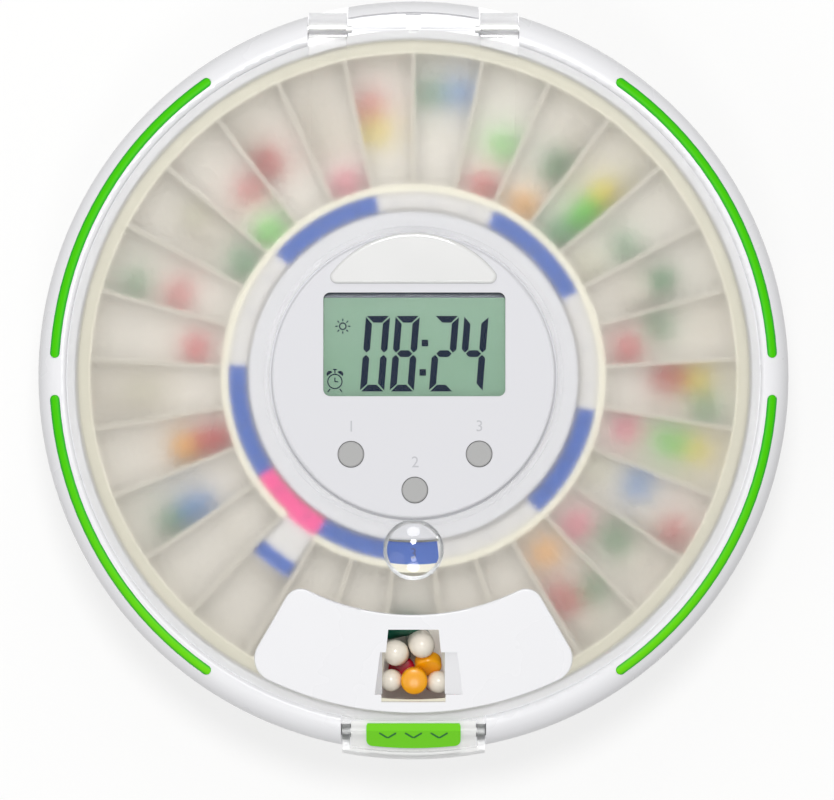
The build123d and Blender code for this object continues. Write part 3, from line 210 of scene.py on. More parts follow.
def object_axes(tree):
    """The place on the object, split into X, Y and Z."""
    return add_node(tree, "SeparateXYZ", Vector=object_place(tree)).outputs


def new_group(name, inputs, outputs):
    """A node group with named sockets; inputs are (name, kind, default)."""
    group = bpy.data.node_groups.new(name, "ShaderNodeTree")
    for title, kind, default in inputs:
        socket = group.interface.new_socket(title, in_out="INPUT", socket_type=kind)
        socket.default_value = default
    for title, kind in outputs:
        group.interface.new_socket(title, in_out="OUTPUT", socket_type=kind)
    return group, group.nodes.new("NodeGroupInput").outputs, group.nodes.new("NodeGroupOutput")


def moulded_grain():
    """Fine moulding texture: a slight colour drift, a roughness drift and a fine bump."""
    found = bpy.data.node_groups.get("moulded_grain")
    if found:
        return found
    group, given, result = new_group(
        "moulded_grain",
        [
            ("Color", "NodeSocketColor", (0.8, 0.8, 0.8, 1)),
            ("Drift", "NodeSocketFloat", 0.04),
            ("Roughness", "NodeSocketFloat", 0.4),
            ("Spread", "NodeSocketFloat", 0.08),
            ("Grain Scale", "NodeSocketFloat", 2200.0),
            ("Grain Depth", "NodeSocketFloat", 0.08),
        ],
        [("Color", "NodeSocketColor"), ("Roughness", "NodeSocketFloat"), ("Normal", "NodeSocketVector")],
    )
    place = object_place(group)
    drift_scale, grain_height = 38.0, 0.00004
    broad = add_node(group, "TexNoise", Vector=place, Scale=drift_scale, Detail=3.0)
    fine = add_node(group, "TexNoise", Vector=place, Scale=given["Grain Scale"], Detail=2.0)
    lean = math_node(group, "SUBTRACT", broad.outputs["Fac"], 0.5)
    tint = group.nodes.new("ShaderNodeVectorMath")
    tint.operation = "SCALE"
    plug(group, given["Color"], tint.inputs[0])
    fill(group, tint, Scale=math_node(group, "MULTIPLY_ADD", lean, given["Drift"], 1.0))
    rough = math_node(group, "MULTIPLY_ADD", lean, given["Spread"], given["Roughness"])
    bump = add_node(
        group, "Bump", Distance=grain_height, Strength=given["Grain Depth"], Height=fine.outputs["Fac"]
    )
    fill(group, result, Color=tint.outputs["Vector"], Roughness=rough, Normal=bump.outputs["Normal"])
    return group


def radius_band():
    """Mask of a ring, soft at both edges, round the dispenser's axis or round a point on its Y axis."""
    found = bpy.data.node_groups.get("radius_band")
    if found:
        return found
    group, given, result = new_group(
        "radius_band",
        [
            ("Inner", "NodeSocketFloat", 0.05),
            ("Outer", "NodeSocketFloat", 0.09),
            ("Soft", "NodeSocketFloat", 0.001),
            ("Middle Y", "NodeSocketFloat", 0.0),
        ],
        [("Mask", "NodeSocketFloat")],
    )
    axes = object_axes(group)
    along = math_node(group, "SUBTRACT", axes["Y"], given["Middle Y"])
    square = math_node(
        group, "MULTIPLY_ADD", axes["X"], axes["X"], math_node(group, "MULTIPLY", along, along)
    )
    radius = math_node(group, "SQRT", square)
    rise = math_node(group, "DIVIDE", math_node(group, "SUBTRACT", radius, given["Inner"]), given["Soft"])
    fall = math_node(group, "DIVIDE", math_node(group, "SUBTRACT", given["Outer"], radius), given["Soft"])
    clip = add_node(group, "Clamp", Value=math_node(group, "MINIMUM", rise, fall))
    fill(group, result, Mask=clip.outputs[0])
    return group


def ring_mask(tree, ring, soft, middle_y=0.0):
    """Mask of a ring that is given by its inner and outer radius."""
    inner, outer = ring
    band = place_group(tree, radius_band(), Inner=inner, Outer=outer, Soft=soft, Middle_Y=middle_y)
    return band.outputs["Mask"]


# ---------------------------------------------------------------- materials
def rgb(color):
    return (*color[:3], 1.0)


def bare_material(name):
    material = bpy.data.materials.new(name)
    material.use_nodes = True
    tree = material.node_tree
    return material, tree, tree.nodes["Principled BSDF"]


def grained(tree, shader, bumpy=True, **values):
    """Colour, roughness and grain of a shader, all from the shared group."""
    grain = place_group(tree, moulded_grain(), **values).outputs
    fill(tree, shader, Base_Color=grain["Color"], Roughness=grain["Roughness"])
    if bumpy:
        fill(tree, shader, Normal=grain["Normal"])


def moulded(name, color, roughness=0.4, drift=0.04, depth=0.08, scale=2200.0, coat=0.0, metal=0.0, sss=0.0,
            passing=0.0, shine=0.5):
    """Moulded or turned piece: one colour with a fine grain."""
    material, tree, shader = bare_material(name)
    grained(tree, shader, Color=rgb(color), Drift=drift, Roughness=roughness, Grain_Scale=scale,
            Grain_Depth=depth)
    fill(tree, shader, Metallic=metal, Specular_IOR_Level=shine)
    if coat:
        fill(tree, shader, Coat_Weight=coat, Coat_Roughness=0.08)
    if sss:
        fill(tree, shader, Subsurface_Weight=sss, Subsurface_Radius=(0.004, 0.004, 0.003))
    if passing:
        let_light_through(tree, shader, passing)
    return material


def mix_shaders(tree, share, first, second):
    mix = add_node(tree, "MixShader", Fac=share)
    tree.links.new(first, mix.inputs[1])
    tree.links.new(second, mix.inputs[2])
    return mix.outputs["Shader"]


def show_surface(tree, shader):
    fill(tree, tree.nodes["Material Output"], Surface=shader)


def let_light_through(tree, shader, share=1.0):
    """Light passes a clear or translucent piece, so what lies under or behind it is lit."""
    path = tree.nodes.new("ShaderNodeLightPath").outputs
    either = math_node(tree, "MAXIMUM", path["Is Shadow Ray"], path["Is Diffuse Ray"])
    clear = add_node(tree, "BsdfTransparent", Color=(0.97, 0.97, 0.97, 1))
    passed = math_node(tree, "MULTIPLY", either, share)
    show_surface(tree, mix_shaders(tree, passed, shader.outputs["BSDF"], clear.outputs["BSDF"]))


def clear_plastic(name, color=(0.97, 0.98, 0.98), roughness=0.03, weight=1.0, ior=1.46):
    material, tree, shader = bare_material(name)
    grained(tree, shader, bumpy=False, Color=rgb(color), Drift=0.02, Roughness=roughness, Spread=0.02)
    fill(tree, shader, Transmission_Weight=weight, IOR=ior)
    let_light_through(tree, shader)
    return material


def reading_lens():
    """Clear lens that magnifies, with a duller rim that painted shade tints grey."""
    dull_shaded_rim_ring, lens_y, rim_dulling = (0.0078, 0.0100), -0.0505, 0.12
    material, tree, shader = bare_material("reading_lens")
    rim = ring_mask(tree, dull_shaded_rim_ring, 0.0006, lens_y)
    grain = place_group(
        tree, moulded_grain(), Color=(0.98, 0.985, 0.99, 1), Drift=0.02, Roughness=0.015, Spread=0.01
    )
    # painted shade: the rim is tinted grey so that it reads darker
    tint = blend(tree, rim, grain.outputs["Color"], (0.74, 0.75, 0.77, 1))
    rough = math_node(tree, "MULTIPLY_ADD", rim, rim_dulling, grain.outputs["Roughness"])
    fill(tree, shader, Base_Color=tint, Roughness=rough, Transmission_Weight=1.0, IOR=1.49)
    let_light_through(tree, shader)
    return material


def misted_lid():
    """Clear polished plastic, frosted between the console's opening and the edge, and dull on the arms;
    painted shade darkens a band at the edge.
    """
    field_ring, shaded_edge_ring, arms_ring = (0.0406, 0.1012), (0.0942, 0.1020), (0.1022, 0.1300)
    polish, mottling, arms_dulling = 0.07, 0.05, 0.23
    material, tree, shader = bare_material("misted_lid")
    mist = add_node(tree, "TexNoise", Vector=object_place(tree), Scale=3000.0)
    dulling = settings().finish.frost - polish
    frost = math_node(tree, "MULTIPLY_ADD", mist.outputs["Fac"], mottling, dulling)
    rough = math_node(tree, "MULTIPLY_ADD", ring_mask(tree, field_ring, 0.0006), frost, polish)
    rough = math_node(tree, "MULTIPLY_ADD", ring_mask(tree, arms_ring, 0.0006), arms_dulling, rough)
    # painted shade: a band at the lid's edge is tinted darker
    edge = ring_mask(tree, shaded_edge_ring, 0.0008)
    tint = blend(tree, edge, (0.985, 0.985, 0.975, 1), (0.81, 0.81, 0.80, 1))
    bump = add_node(tree, "Bump", Distance=0.00003, Strength=0.15, Height=mist.outputs["Fac"])
    fill(tree, shader, Base_Color=tint, Roughness=rough, Transmission_Weight=0.985, IOR=1.3,
         Normal=bump.outputs["Normal"])
    let_light_through(tree, shader)
    return material


def dose_ring_print():
    """Printed dosage ring: coloured bands by angle, and a white tab with a coloured bar."""
    tab, bar = (0.0550, 0.0800), (0.0647, 0.0800)
    blue, pink, white = (0.002, 0.075, 0.40, 1), (0.96, 0.05, 0.29, 1), (0.76, 0.74, 0.72, 1)
    bands = [(0, blue), (3, pink)]
    bands += [(number, white if on_white(number) else blue) for number in range(5, SECTORS, 3)]
    material, tree, shader = bare_material("dose_ring_print")
    axes = object_axes(tree)
    angle = math_node(tree, "ARCTAN2", axes["Y"], axes["X"])
    # clockwise from the front compartment's right wall, as a share of the whole turn
    turned = math_node(tree, "SUBTRACT", sector_angle(-0.5), angle)
    share = math_node(tree, "FRACT", math_node(tree, "DIVIDE", turned, 2 * math.pi))
    ramp = add_node(tree, "ValToRGB", Fac=share)
    ramp.color_ramp.interpolation = "CONSTANT"
    stops = ramp.color_ramp.elements
    for count, (number, color) in enumerate(bands):
        # the ramp starts with two stops
        stop = stops[count] if count < 2 else stops.new(number / SECTORS)
        stop.position = number / SECTORS
        stop.color = color
    paper = blend(tree, ring_mask(tree, tab, 0.0001), ramp.outputs["Color"], white)
    print_color = blend(tree, ring_mask(tree, bar, 0.0001), paper, blue)
    grained(tree, shader, Color=print_color, Drift=0.05, Roughness=0.5, Grain_Depth=0.05)
    return material


def lit_guide():
    """Green light guide, a little brighter along its middle and yellower towards the front."""
    core_ring, fore_start, fore_end = (0.1033, 0.1064), -0.02, -0.09
    material, tree, shader = bare_material("lit_guide")
    fore = add_node(tree, "MapRange", From_Min=fore_start, From_Max=fore_end, Value=object_axes(tree)["Y"])
    green = blend(tree, fore.outputs["Result"], rgb(settings().finish.guide_green), (0.135, 0.62, 0.004, 1))
    tint = blend(tree, ring_mask(tree, core_ring, 0.0009), (0.0, 0.33, 0.03, 1), green)
    fill(tree, shader, Base_Color=tint, Emission_Color=tint, Emission_Strength=0.22, Roughness=0.4,
         Specular_IOR_Level=0.12)
    return material


def display_glass():
    """Grey-green display, slightly clouded, with a dark band along its top edge."""
    edge_y = 0.02290
    material, tree, shader = bare_material("display_glass")
    top = math_node(tree, "GREATER_THAN", object_axes(tree)["Y"], edge_y)
    cloud = add_node(tree, "TexNoise", Vector=object_place(tree), Scale=60.0)
    field = blend(tree, cloud.outputs["Fac"], (0.15, 0.315, 0.187, 1), (0.175, 0.32, 0.22, 1))
    fill(tree, shader, Base_Color=blend(tree, top, field, (0.03, 0.045, 0.07, 1)), Roughness=0.3)
    return material


def numbered(stem):
    """The four nodes of a name, which carry the numbers 1 to 4."""
    return tuple(f"{stem}_{number}" for number in range(1, 5))


FINISHES = {
    "satin_shell": ("base_housing", "rim_bezel", "bottom_cover", "battery_door"),
    "matt_console": ("console_cover", "console_base"),
    "satin_shield": ("dispense_shield",),
    "carousel": ("tray_floor", "tray_steps"),
    "carousel_wall": ("tray_dividers",),
    "carousel_rim": ("tray_outer_wall", "tray_hub"),
    "lit_guide": numbered("light_guide"),
    "green_board": ("main_board", "console_board", *numbered("led_strip")),
    "rubber_foot": ("lcd_gasket", *numbered("foot")),
    "plated_steel": (
        "cover_screws", "console_screws", "idler_axle", "drive_shaft",
        "battery_contacts", "motor_shaft", "motor", "index_magnet",
    ),
    "bright_steel": ("hinge_pins",),
    "pin_white": ("latch_pin",),
    "cell_wrap": ("batteries",),
    "turned_brass": ("drive_bush", "motor_pinion"),
    "black_moulding": ("index_sensor", "buzzer", "key_switches", "lcd_module"),
    "display_glass": ("lcd_glass",),
    "clear_pane": ("lcd_window",),
    "reading_lens": ("magnifier_lens",),
    "badge_gloss": ("badge",),
    "misted_lid": ("lid_panel",),
    "grey_key": ("button_left", "button_middle", "button_right"),
    "smoke_key": ("latch_key",),
    "green_pad": ("latch_pad",),
    "dose_ring_print": ("dosage_ring",),
    "cut_nylon": ("drive_pinion", "drive_wheel", "idler_gear"),
}


def finish_materials():
    """Every finish of the CAD nodes, by name."""
    colors = settings().finish
    return {
        "satin_shell": moulded("satin_shell", colors.shell_white, 0.28, drift=0.012, coat=0.1),
        "matt_console": moulded("matt_console", colors.console_white, 0.6, drift=0.015, depth=0.12),
        "satin_shield": moulded("satin_shield", (0.91, 0.91, 0.93), 0.28, drift=0.012, passing=0.94),
        "carousel": moulded("carousel", colors.tray_beige, 0.35, drift=0.08),
        # painted shade: the dividers are coloured well below the carousel's beige, so their lit tops read as
        # dim as the shaded floors
        "carousel_wall": moulded("carousel_wall", (0.50, 0.465, 0.39), 0.45, drift=0.08, passing=0.95),
        "carousel_rim": moulded("carousel_rim", (0.86, 0.82, 0.66), 0.4, drift=0.08, passing=0.95),
        "lit_guide": lit_guide(),
        "green_board": moulded("green_board", (0.03, 0.16, 0.06), 0.35, drift=0.3, scale=900),
        "rubber_foot": moulded("rubber_foot", (0.02, 0.02, 0.02), 0.75, depth=0.3, scale=1500),
        "plated_steel": moulded("plated_steel", (0.55, 0.55, 0.57), 0.28, metal=1.0, depth=0.05),
        "bright_steel": moulded("bright_steel", (0.93, 0.93, 0.93), 0.5, metal=1.0, depth=0.03),
        "pin_white": moulded("pin_white", (0.86, 0.87, 0.87), 0.4, depth=0.05),
        "cell_wrap": moulded("cell_wrap", (0.03, 0.035, 0.045), 0.25, drift=0.1, coat=0.5),
        "turned_brass": moulded("turned_brass", (0.72, 0.50, 0.20), 0.25, metal=1.0, depth=0.05),
        "black_moulding": moulded("black_moulding", (0.02, 0.02, 0.023), 0.5, depth=0.2),
        "display_glass": display_glass(),
        "clear_pane": clear_plastic("clear_pane", roughness=0.04, ior=1.2),
        "reading_lens": reading_lens(),
        "badge_gloss": moulded("badge_gloss", (0.80, 0.80, 0.79), 0.16, depth=0.01, coat=0.8),
        "misted_lid": misted_lid(),
        "grey_key": moulded("grey_key", (0.445, 0.445, 0.44), 0.6, depth=0.25, scale=1500),
        "smoke_key": clear_plastic("smoke_key", (0.96, 0.96, 0.95), roughness=0.2, weight=0.25),
        "green_pad": moulded("green_pad", (0.17, 0.70, 0.0), 0.2, coat=0.4, drift=0.05, shine=0.2),
        "dose_ring_print": dose_ring_print(),
        "cut_nylon": moulded("cut_nylon", (0.78, 0.77, 0.70), 0.4, sss=0.1),
    }


# ---------------------------------------------------------------- modelling helpers
def select_only(*objects):
    bpy.ops.object.select_all(action="DESELECT")
    for item in objects:
        item.select_set(True)
    bpy.context.view_layer.objects.active = objects[0]


def edit_all():
    """Enters edit mode with the whole mesh selected."""
    bpy.ops.object.mode_set(mode="EDIT")
    bpy.ops.mesh.select_all(action="SELECT")


def leave_edit():
    bpy.ops.object.mode_set(mode="OBJECT")


def select_verts(obj, test):
    """In edit mode, selects the vertices that pass a test of their place."""
    leave_edit()
    for vert in obj.data.vertices:
        vert.select = test(vert.co)
    for part in (*obj.data.edges, *obj.data.polygons):
        part.select = all(obj.data.vertices[i].select for i in part.vertices)
    bpy.ops.object.mode_set(mode="EDIT")


def copy_to(obj, location, turn=(0, 0, 0)):
    """A copy with its own mesh, at a new place."""
    twin = obj.copy()
    twin.data = obj.data.copy()
    bpy.context.collection.objects.link(twin)
    twin.rotation_euler = turn
    twin.location = location
    return twin


def join(objects, name):
    """Joins objects into one that sits at the origin."""
    select_only(*objects)
    bpy.ops.object.transform_apply(location=True, rotation=True, scale=True)
    bpy.ops.object.join()
    merged = bpy.context.view_layer.objects.active
    merged.name = name
    merged.data.name = name
    return merged


def drop(*objects):
    for item in objects:
        bpy.data.objects.remove(item, do_unlink=True)


def paint(obj, material):
    obj.data.materials.clear()
    obj.data.materials.append(material)


def top_of(node):
    """Height of a CAD node's top."""
    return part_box(node)[1][2]


# ---------------------------------------------------------------- flat figures
# how far a regular hexagon's shoulders stand from its long axis, as a share of its width over the tips
SHOULDER = 0.433
# how far the middle of a printed figure stands over its surface, and how thick it is to each side of that
PRINT_LIFT, PRINT_HALF = 0.00001, 0.00004


def segment(length, stroke, thick, mitred=()):
    """One bar of a digit, lying along X; each end is pointed, or mitred towards its outer edge at +Y."""
    bpy.ops.mesh.primitive_cylinder_add(vertices=6, radius=stroke / 2, depth=thick, location=(0, 0, 0))
    bar = bpy.context.active_object
    edit_all()
    bpy.ops.transform.rotate(value=math.radians(30), orient_axis="Z", center_override=(0, 0, 0))
    # from a regular hexagon to one with square shoulders
    for side in (-1, 1):
        select_verts(bar, lambda co: side * co.y > stroke * 0.3)
        bpy.ops.transform.translate(value=(0, side * stroke * (0.5 - SHOULDER), 0))
    for side in (-1, 1):
        # the tip moves out until its sides stand at 45 degrees, and then the whole end moves to its place
        select_verts(bar, lambda co: side * co.x > stroke * 0.45)
        bpy.ops.transform.translate(value=(side * stroke * 0.25, 0, 0))
        select_verts(bar, lambda co: side * co.x > stroke * 0.05)
        bpy.ops.transform.translate(value=(side * (length / 2 - stroke * 0.75), 0, 0))
        if side in mitred:
            # the tip goes up to the outer edge, and the inner shoulder back
            select_verts(bar, lambda co: side * co.x > length / 2 - stroke * 0.1)
            bpy.ops.transform.translate(value=(0, stroke / 2, 0))
            select_verts(bar, lambda co: side * co.x > 0 and co.y < -stroke * 0.3)
            bpy.ops.transform.translate(value=(-side * stroke / 2, 0, 0))
    leave_edit()
    return bar


def flat_ring(radius, line, thick, place):
    """A flat ring, its band pressed thin."""
    bpy.ops.mesh.primitive_torus_add(
        location=(0, 0, 0), major_radius=radius - line / 2, minor_radius=line / 2, major_segments=40,
        minor_segments=8,
    )
    ring = bpy.context.active_object
    edit_all()
    bpy.ops.transform.resize(value=(1, 1, thick / line), center_override=(0, 0, 0))
    leave_edit()
    ring.location = place
    return ring


def half_disc(radius, thick):
    """A thin half disc whose flat side lies on the X axis."""
    bpy.ops.mesh.primitive_cylinder_add(vertices=20, radius=radius, depth=thick, location=(0, 0, 0))
    disc = bpy.context.active_object
    edit_all()
    bpy.ops.mesh.bisect(plane_co=(0, 0, 0), plane_no=(0, 1, 0), clear_inner=True, use_fill=True)
    leave_edit()
    return disc


def small_block(side, thick, soft, place):
    """A flat square block with its edges taken off."""
    bpy.ops.mesh.primitive_cube_add(size=1, location=place)
    block = bpy.context.active_object
    block.scale = (side, side, thick)
    bpy.ops.object.transform_apply(location=False, rotation=False, scale=True)
    edit_all()
    bpy.ops.mesh.bevel(offset=soft, segments=1)
    leave_edit()
    return block


def number_mesh(text, size, place, turn=0.0):
    """A flat printed figure as a mesh."""
    bpy.ops.object.text_add(location=(0, 0, 0))
    figure = bpy.context.active_object
    figure.data.body = text
    figure.data.size = size
    figure.data.align_x = "CENTER"
    figure.data.align_y = "CENTER"
    figure.data.extrude = PRINT_HALF
    figure.data.resolution_u = 4
    bpy.ops.object.convert(target="MESH")
    figure = bpy.context.active_object
    figure.rotation_euler = (0, 0, turn)
    figure.location = place
    return figure


class PILL_OT_display(bpy.types.Operator):
    """Adds the digits, colon, sun mark and alarm mark to the clock display"""

    bl_idname = "pill.display"
    bl_label = "Display figures"

    # thickness of all figures, and width of the marks' lines
    THICK, LINE = 0.0001, 0.00034
    # middle of each digit and of the two dots of the colon, in mm
    DIGITS_X = (-11.2, -2.55, 8.9, 17.5)
    DIGITS_Y = 6.6
    COLON = ((3.34, 9.7), (2.7, 1.14))
    DOT_SIDE, DOT_SOFT = 0.0019, 0.00004
    # the sun: middle, radius and line of its disc, and the rays' number, length and distance
    SUN_X, SUN_Y = -0.0206, 0.0146
    SUN_RADIUS, SUN_LINE = 0.00112, 0.00036
    RAYS, RAY, RAYS_RADIUS = 8, 0.0009, 0.00185
    # the alarm clock: middle, radius, and the bells' place, radius and lean in degrees
    ALARM_X, ALARM_Y = -0.0229, -0.0015
    ALARM_RADIUS = 0.00224
    BELL_X, BELL_Y, BELL_RADIUS, BELL_LEAN = 0.00150, 0.00215, 0.00095, 36
    # length of its lines, and their x, y and angle: two hands, two legs, the knob's stem and its cap
    ALARM_LINE = 0.00130
    ALARM_LINES = (
        (0.0, 0.00055, 90), (0.00042, -0.00005, -8), (-0.00175, -0.00262, 52), (0.00175, -0.00262, 128),
        (0.0, 0.00290, 90), (0.0, 0.00350, 0),
    )

    def execute(self, context):
        shape = settings().display
        face = top_of("lcd_glass") + self.THICK / 2
        ink = moulded("display_ink", shape.ink, 0.6, drift=0.1, shine=0.05)
        pieces = self.digits(shape, face)
        for x, y in self.COLON:
            pieces.append(small_block(self.DOT_SIDE, self.THICK, self.DOT_SOFT, (x * MM, y * MM, face)))
        self.finish_print(join(pieces, "display_digits"), ink)
        marks = self.alarm_mark(Vector((self.ALARM_X, self.ALARM_Y, face)))
        marks += self.sun_mark(Vector((self.SUN_X, self.SUN_Y, face)))
        self.finish_print(join(marks, "display_marks"), ink)
        return {"FINISHED"}

    def digits(self, shape, face):
        """The seven-bar digits, leaning to the right."""
        half, width, stroke, thick = shape.digit_height / 2, shape.digit_width, shape.stroke, self.THICK
        inset = shape.gap / math.sqrt(2)
        lean = math.tan(shape.slant)
        outer = segment(width - 2 * inset, stroke, thick, mitred=(-1, 1))
        middle = segment(width - stroke - 2 * inset, stroke, thick)
        high_mitre = segment(half - 2 * inset, stroke, thick, mitred=(1,))
        low_mitre = segment(half - 2 * inset, stroke, thick, mitred=(-1,))
        left, right = math.pi / 2 - shape.slant, -math.pi / 2 - shape.slant
        edge = (width - stroke) / 2
        bars = {
            "top": (outer, 0, half - stroke / 2, 0),
            "middle": (middle, 0, 0, 0),
            "bottom": (outer, 0, stroke / 2 - half, math.pi),
            "upper_left": (high_mitre, -edge, half / 2, left),
            "upper_right": (low_mitre, edge, half / 2, right),
            "lower_left": (low_mitre, -edge, -half / 2, left),
            "lower_right": (high_mitre, edge, -half / 2, right),
        }
        # an 8, and any other figure, shows all bars
        shown = {
            "0": ("top", "bottom", "upper_left", "upper_right", "lower_left", "lower_right"),
            "2": ("top", "middle", "bottom", "upper_right", "lower_left"),
            "4": ("middle", "upper_left", "upper_right", "lower_right"),
        }
        pieces = []
        for digit, middle_x in zip(shape.time_text, self.DIGITS_X):
            for title in shown.get(digit, bars):
                bar, x, y, turn = bars[title]
                place = (middle_x * MM + x + lean * y, self.DIGITS_Y * MM + y, face)
                pieces.append(copy_to(bar, place, (0, 0, turn)))
        drop(outer, middle, high_mitre, low_mitre)
        return pieces

    def alarm_mark(self, at):
        """An alarm clock: ring, two hands, two bells, a knob between them and two legs."""
        marks = [flat_ring(self.ALARM_RADIUS, self.LINE, self.THICK, at)]
        line = segment(self.ALARM_LINE, self.LINE, self.THICK)
        bell = half_disc(self.BELL_RADIUS, self.THICK)
        for x, y, turn in self.ALARM_LINES:
            marks.append(copy_to(line, at + Vector((x, y, 0)), (0, 0, math.radians(turn))))
        for side in (-1, 1):
            place = at + Vector((side * self.BELL_X, self.BELL_Y, 0))
            marks.append(copy_to(bell, place, (0, 0, math.radians(-self.BELL_LEAN * side))))
        drop(line, bell)
        return marks

    def sun_mark(self, at):
        """A small sun in place of the half-day letters."""
        marks = [flat_ring(self.SUN_RADIUS, self.SUN_LINE, self.THICK, at)]
        ray = segment(self.RAY, self.LINE, self.THICK)
        for step in range(self.RAYS):
            a = math.radians(360 / self.RAYS * step)
            place = at + Vector((self.RAYS_RADIUS * math.cos(a), self.RAYS_RADIUS * math.sin(a), 0))
            marks.append(copy_to(ray, place, (0, 0, a)))
        drop(ray)
        return marks

    def finish_print(self, figure, ink):
        paint(figure, ink)
        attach(figure, "base")


class PILL_OT_numbers(bpy.types.Operator):
    """Prints the key numbers on the console and the dose numbers on the ring"""

    bl_idname = "pill.numbers"
    bl_label = "Printed numbers"

    # the key numbers' size, and their place from the middle of the key
    KEY_SIZE = 0.0046
    KEY_X, KEY_Y = 0.0001, 0.0080
    RING_SIZE = 0.0032
    RING_RADIUS = 0.0516

    def execute(self, context):
        self.key_numbers()
        self.ring_numbers()
        return {"FINISHED"}

    def key_numbers(self):
        top = top_of("console_cover") + PRINT_LIFT
        labels = []
        for text, node in (("1", "button_left"), ("2", "button_middle"), ("3", "button_right")):
            low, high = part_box(node)
            place = ((low[0] + high[0]) / 2 + self.KEY_X, (low[1] + high[1]) / 2 + self.KEY_Y, top)
            labels.append(number_mesh(text, self.KEY_SIZE, place))
        printed = join(labels, "key_numbers")
        paint(printed, moulded("key_print", (0.55, 0.55, 0.58), 0.5, drift=0.05))
        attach(printed, "base")

    def ring_numbers(self):
        top = top_of("dosage_ring") + PRINT_LIFT
        dark = moulded("ring_ink_dark", (0.0, 0.010, 0.085), 0.5, drift=0.05)
        pale = moulded("ring_ink_pale", (0.42, 0.42, 0.48), 0.5, drift=0.05)
        figures = []
        for number in range(SECTORS):
            a = sector_angle(number)
            place = (self.RING_RADIUS * math.cos(a), self.RING_RADIUS * math.sin(a), top)
            figure = number_mesh(str(3 - number % 3), self.RING_SIZE, place, a + math.pi / 2)
            paint(figure, pale if on_white(number) else dark)
            figures.append(figure)
        dial = join(figures, "ring_numbers")
        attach(dial, "tray")


# ---------------------------------------------------------------- doses
PILL_COLORS = {
    "pill_lime": (0.08, 0.74, 0.0),
    "pill_cream": (0.80, 0.76, 0.58),
    "pill_red": (0.70, 0.005, 0.035),
    "pill_green": (0.0, 0.24, 0.05),
    "pill_dark_green": (0.005, 0.10, 0.06),
    "pill_yellow": (1.0, 0.80, 0.0),
    "pill_blue": (0.01, 0.25, 0.74),
    "pill_white": (0.97, 0.90, 0.78),
    "pill_orange": (1.0, 0.42, 0.0),
    "pill_pink": (0.84, 0.13, 0.24),
}


# height of a tablet over its raised faces, as a share of its height at the rim
TABLET_SWELL = 1.12


def capsule(length, radius, body, cap):
    """A two-part capsule standing on Z, its cap drawn over its body."""
    seam, lip, cap_wider = length * 0.06, 0.00015, 1.035
    # an odd number of rings leaves none on the equator, where the halves part
    bpy.ops.mesh.primitive_uv_sphere_add(segments=18, ring_count=11, radius=radius, location=(0, 0, 0))
    shell = bpy.context.active_object
    shell.data.materials.append(body)
    shell.data.materials.append(cap)
    bpy.ops.object.mode_set(mode="EDIT")
    for side in (1, -1):
        select_verts(shell, lambda co: side * co.z > 0)
        bpy.ops.transform.translate(value=(0, 0, side * (length / 2 - radius)))
    for height in (seam, seam + lip):
        bpy.ops.mesh.select_all(action="SELECT")
        bpy.ops.mesh.bisect(plane_co=(0, 0, height), plane_no=(0, 0, 1))
    select_verts(shell, lambda co: co.z > seam + lip / 2)
    bpy.ops.transform.resize(value=(cap_wider, cap_wider, 1.0), center_override=(0, 0, 0))
    leave_edit()
    for face in shell.data.polygons:
        face.material_index = 1 if face.center.z > seam else 0
    bpy.ops.object.shade_smooth_by_angle(angle=math.radians(40))
    return shell


def tablet(radius, height, coat):
    """A round tablet lying flat, with a soft edge and slightly raised faces."""
    soft, raised_from = height * 0.22, radius * 0.4
    bpy.ops.mesh.primitive_cylinder_add(vertices=22, radius=radius, depth=height, location=(0, 0, 0))
    disc = bpy.context.active_object
    disc.data.materials.append(coat)
    # the two rims
    for edge in disc.data.edges:
        a, b = (disc.data.vertices[i].co for i in edge.vertices)
        edge.select = abs(a.z - b.z) < 1e-6
    bpy.ops.object.mode_set(mode="EDIT")
    bpy.ops.mesh.select_mode(type="EDGE")
    bpy.ops.mesh.bevel(offset=soft, segments=3)
    bpy.ops.mesh.select_mode(type="FACE")
    leave_edit()
    # the two round faces
    for face in disc.data.polygons:
        face.select = abs(face.normal.z) > 0.99
    bpy.ops.object.mode_set(mode="EDIT")
    bpy.ops.mesh.inset(thickness=raised_from)
    bpy.ops.transform.resize(value=(1, 1, TABLET_SWELL))
    leave_edit()
    bpy.ops.object.shade_smooth_by_angle(angle=math.radians(35))
    return disc


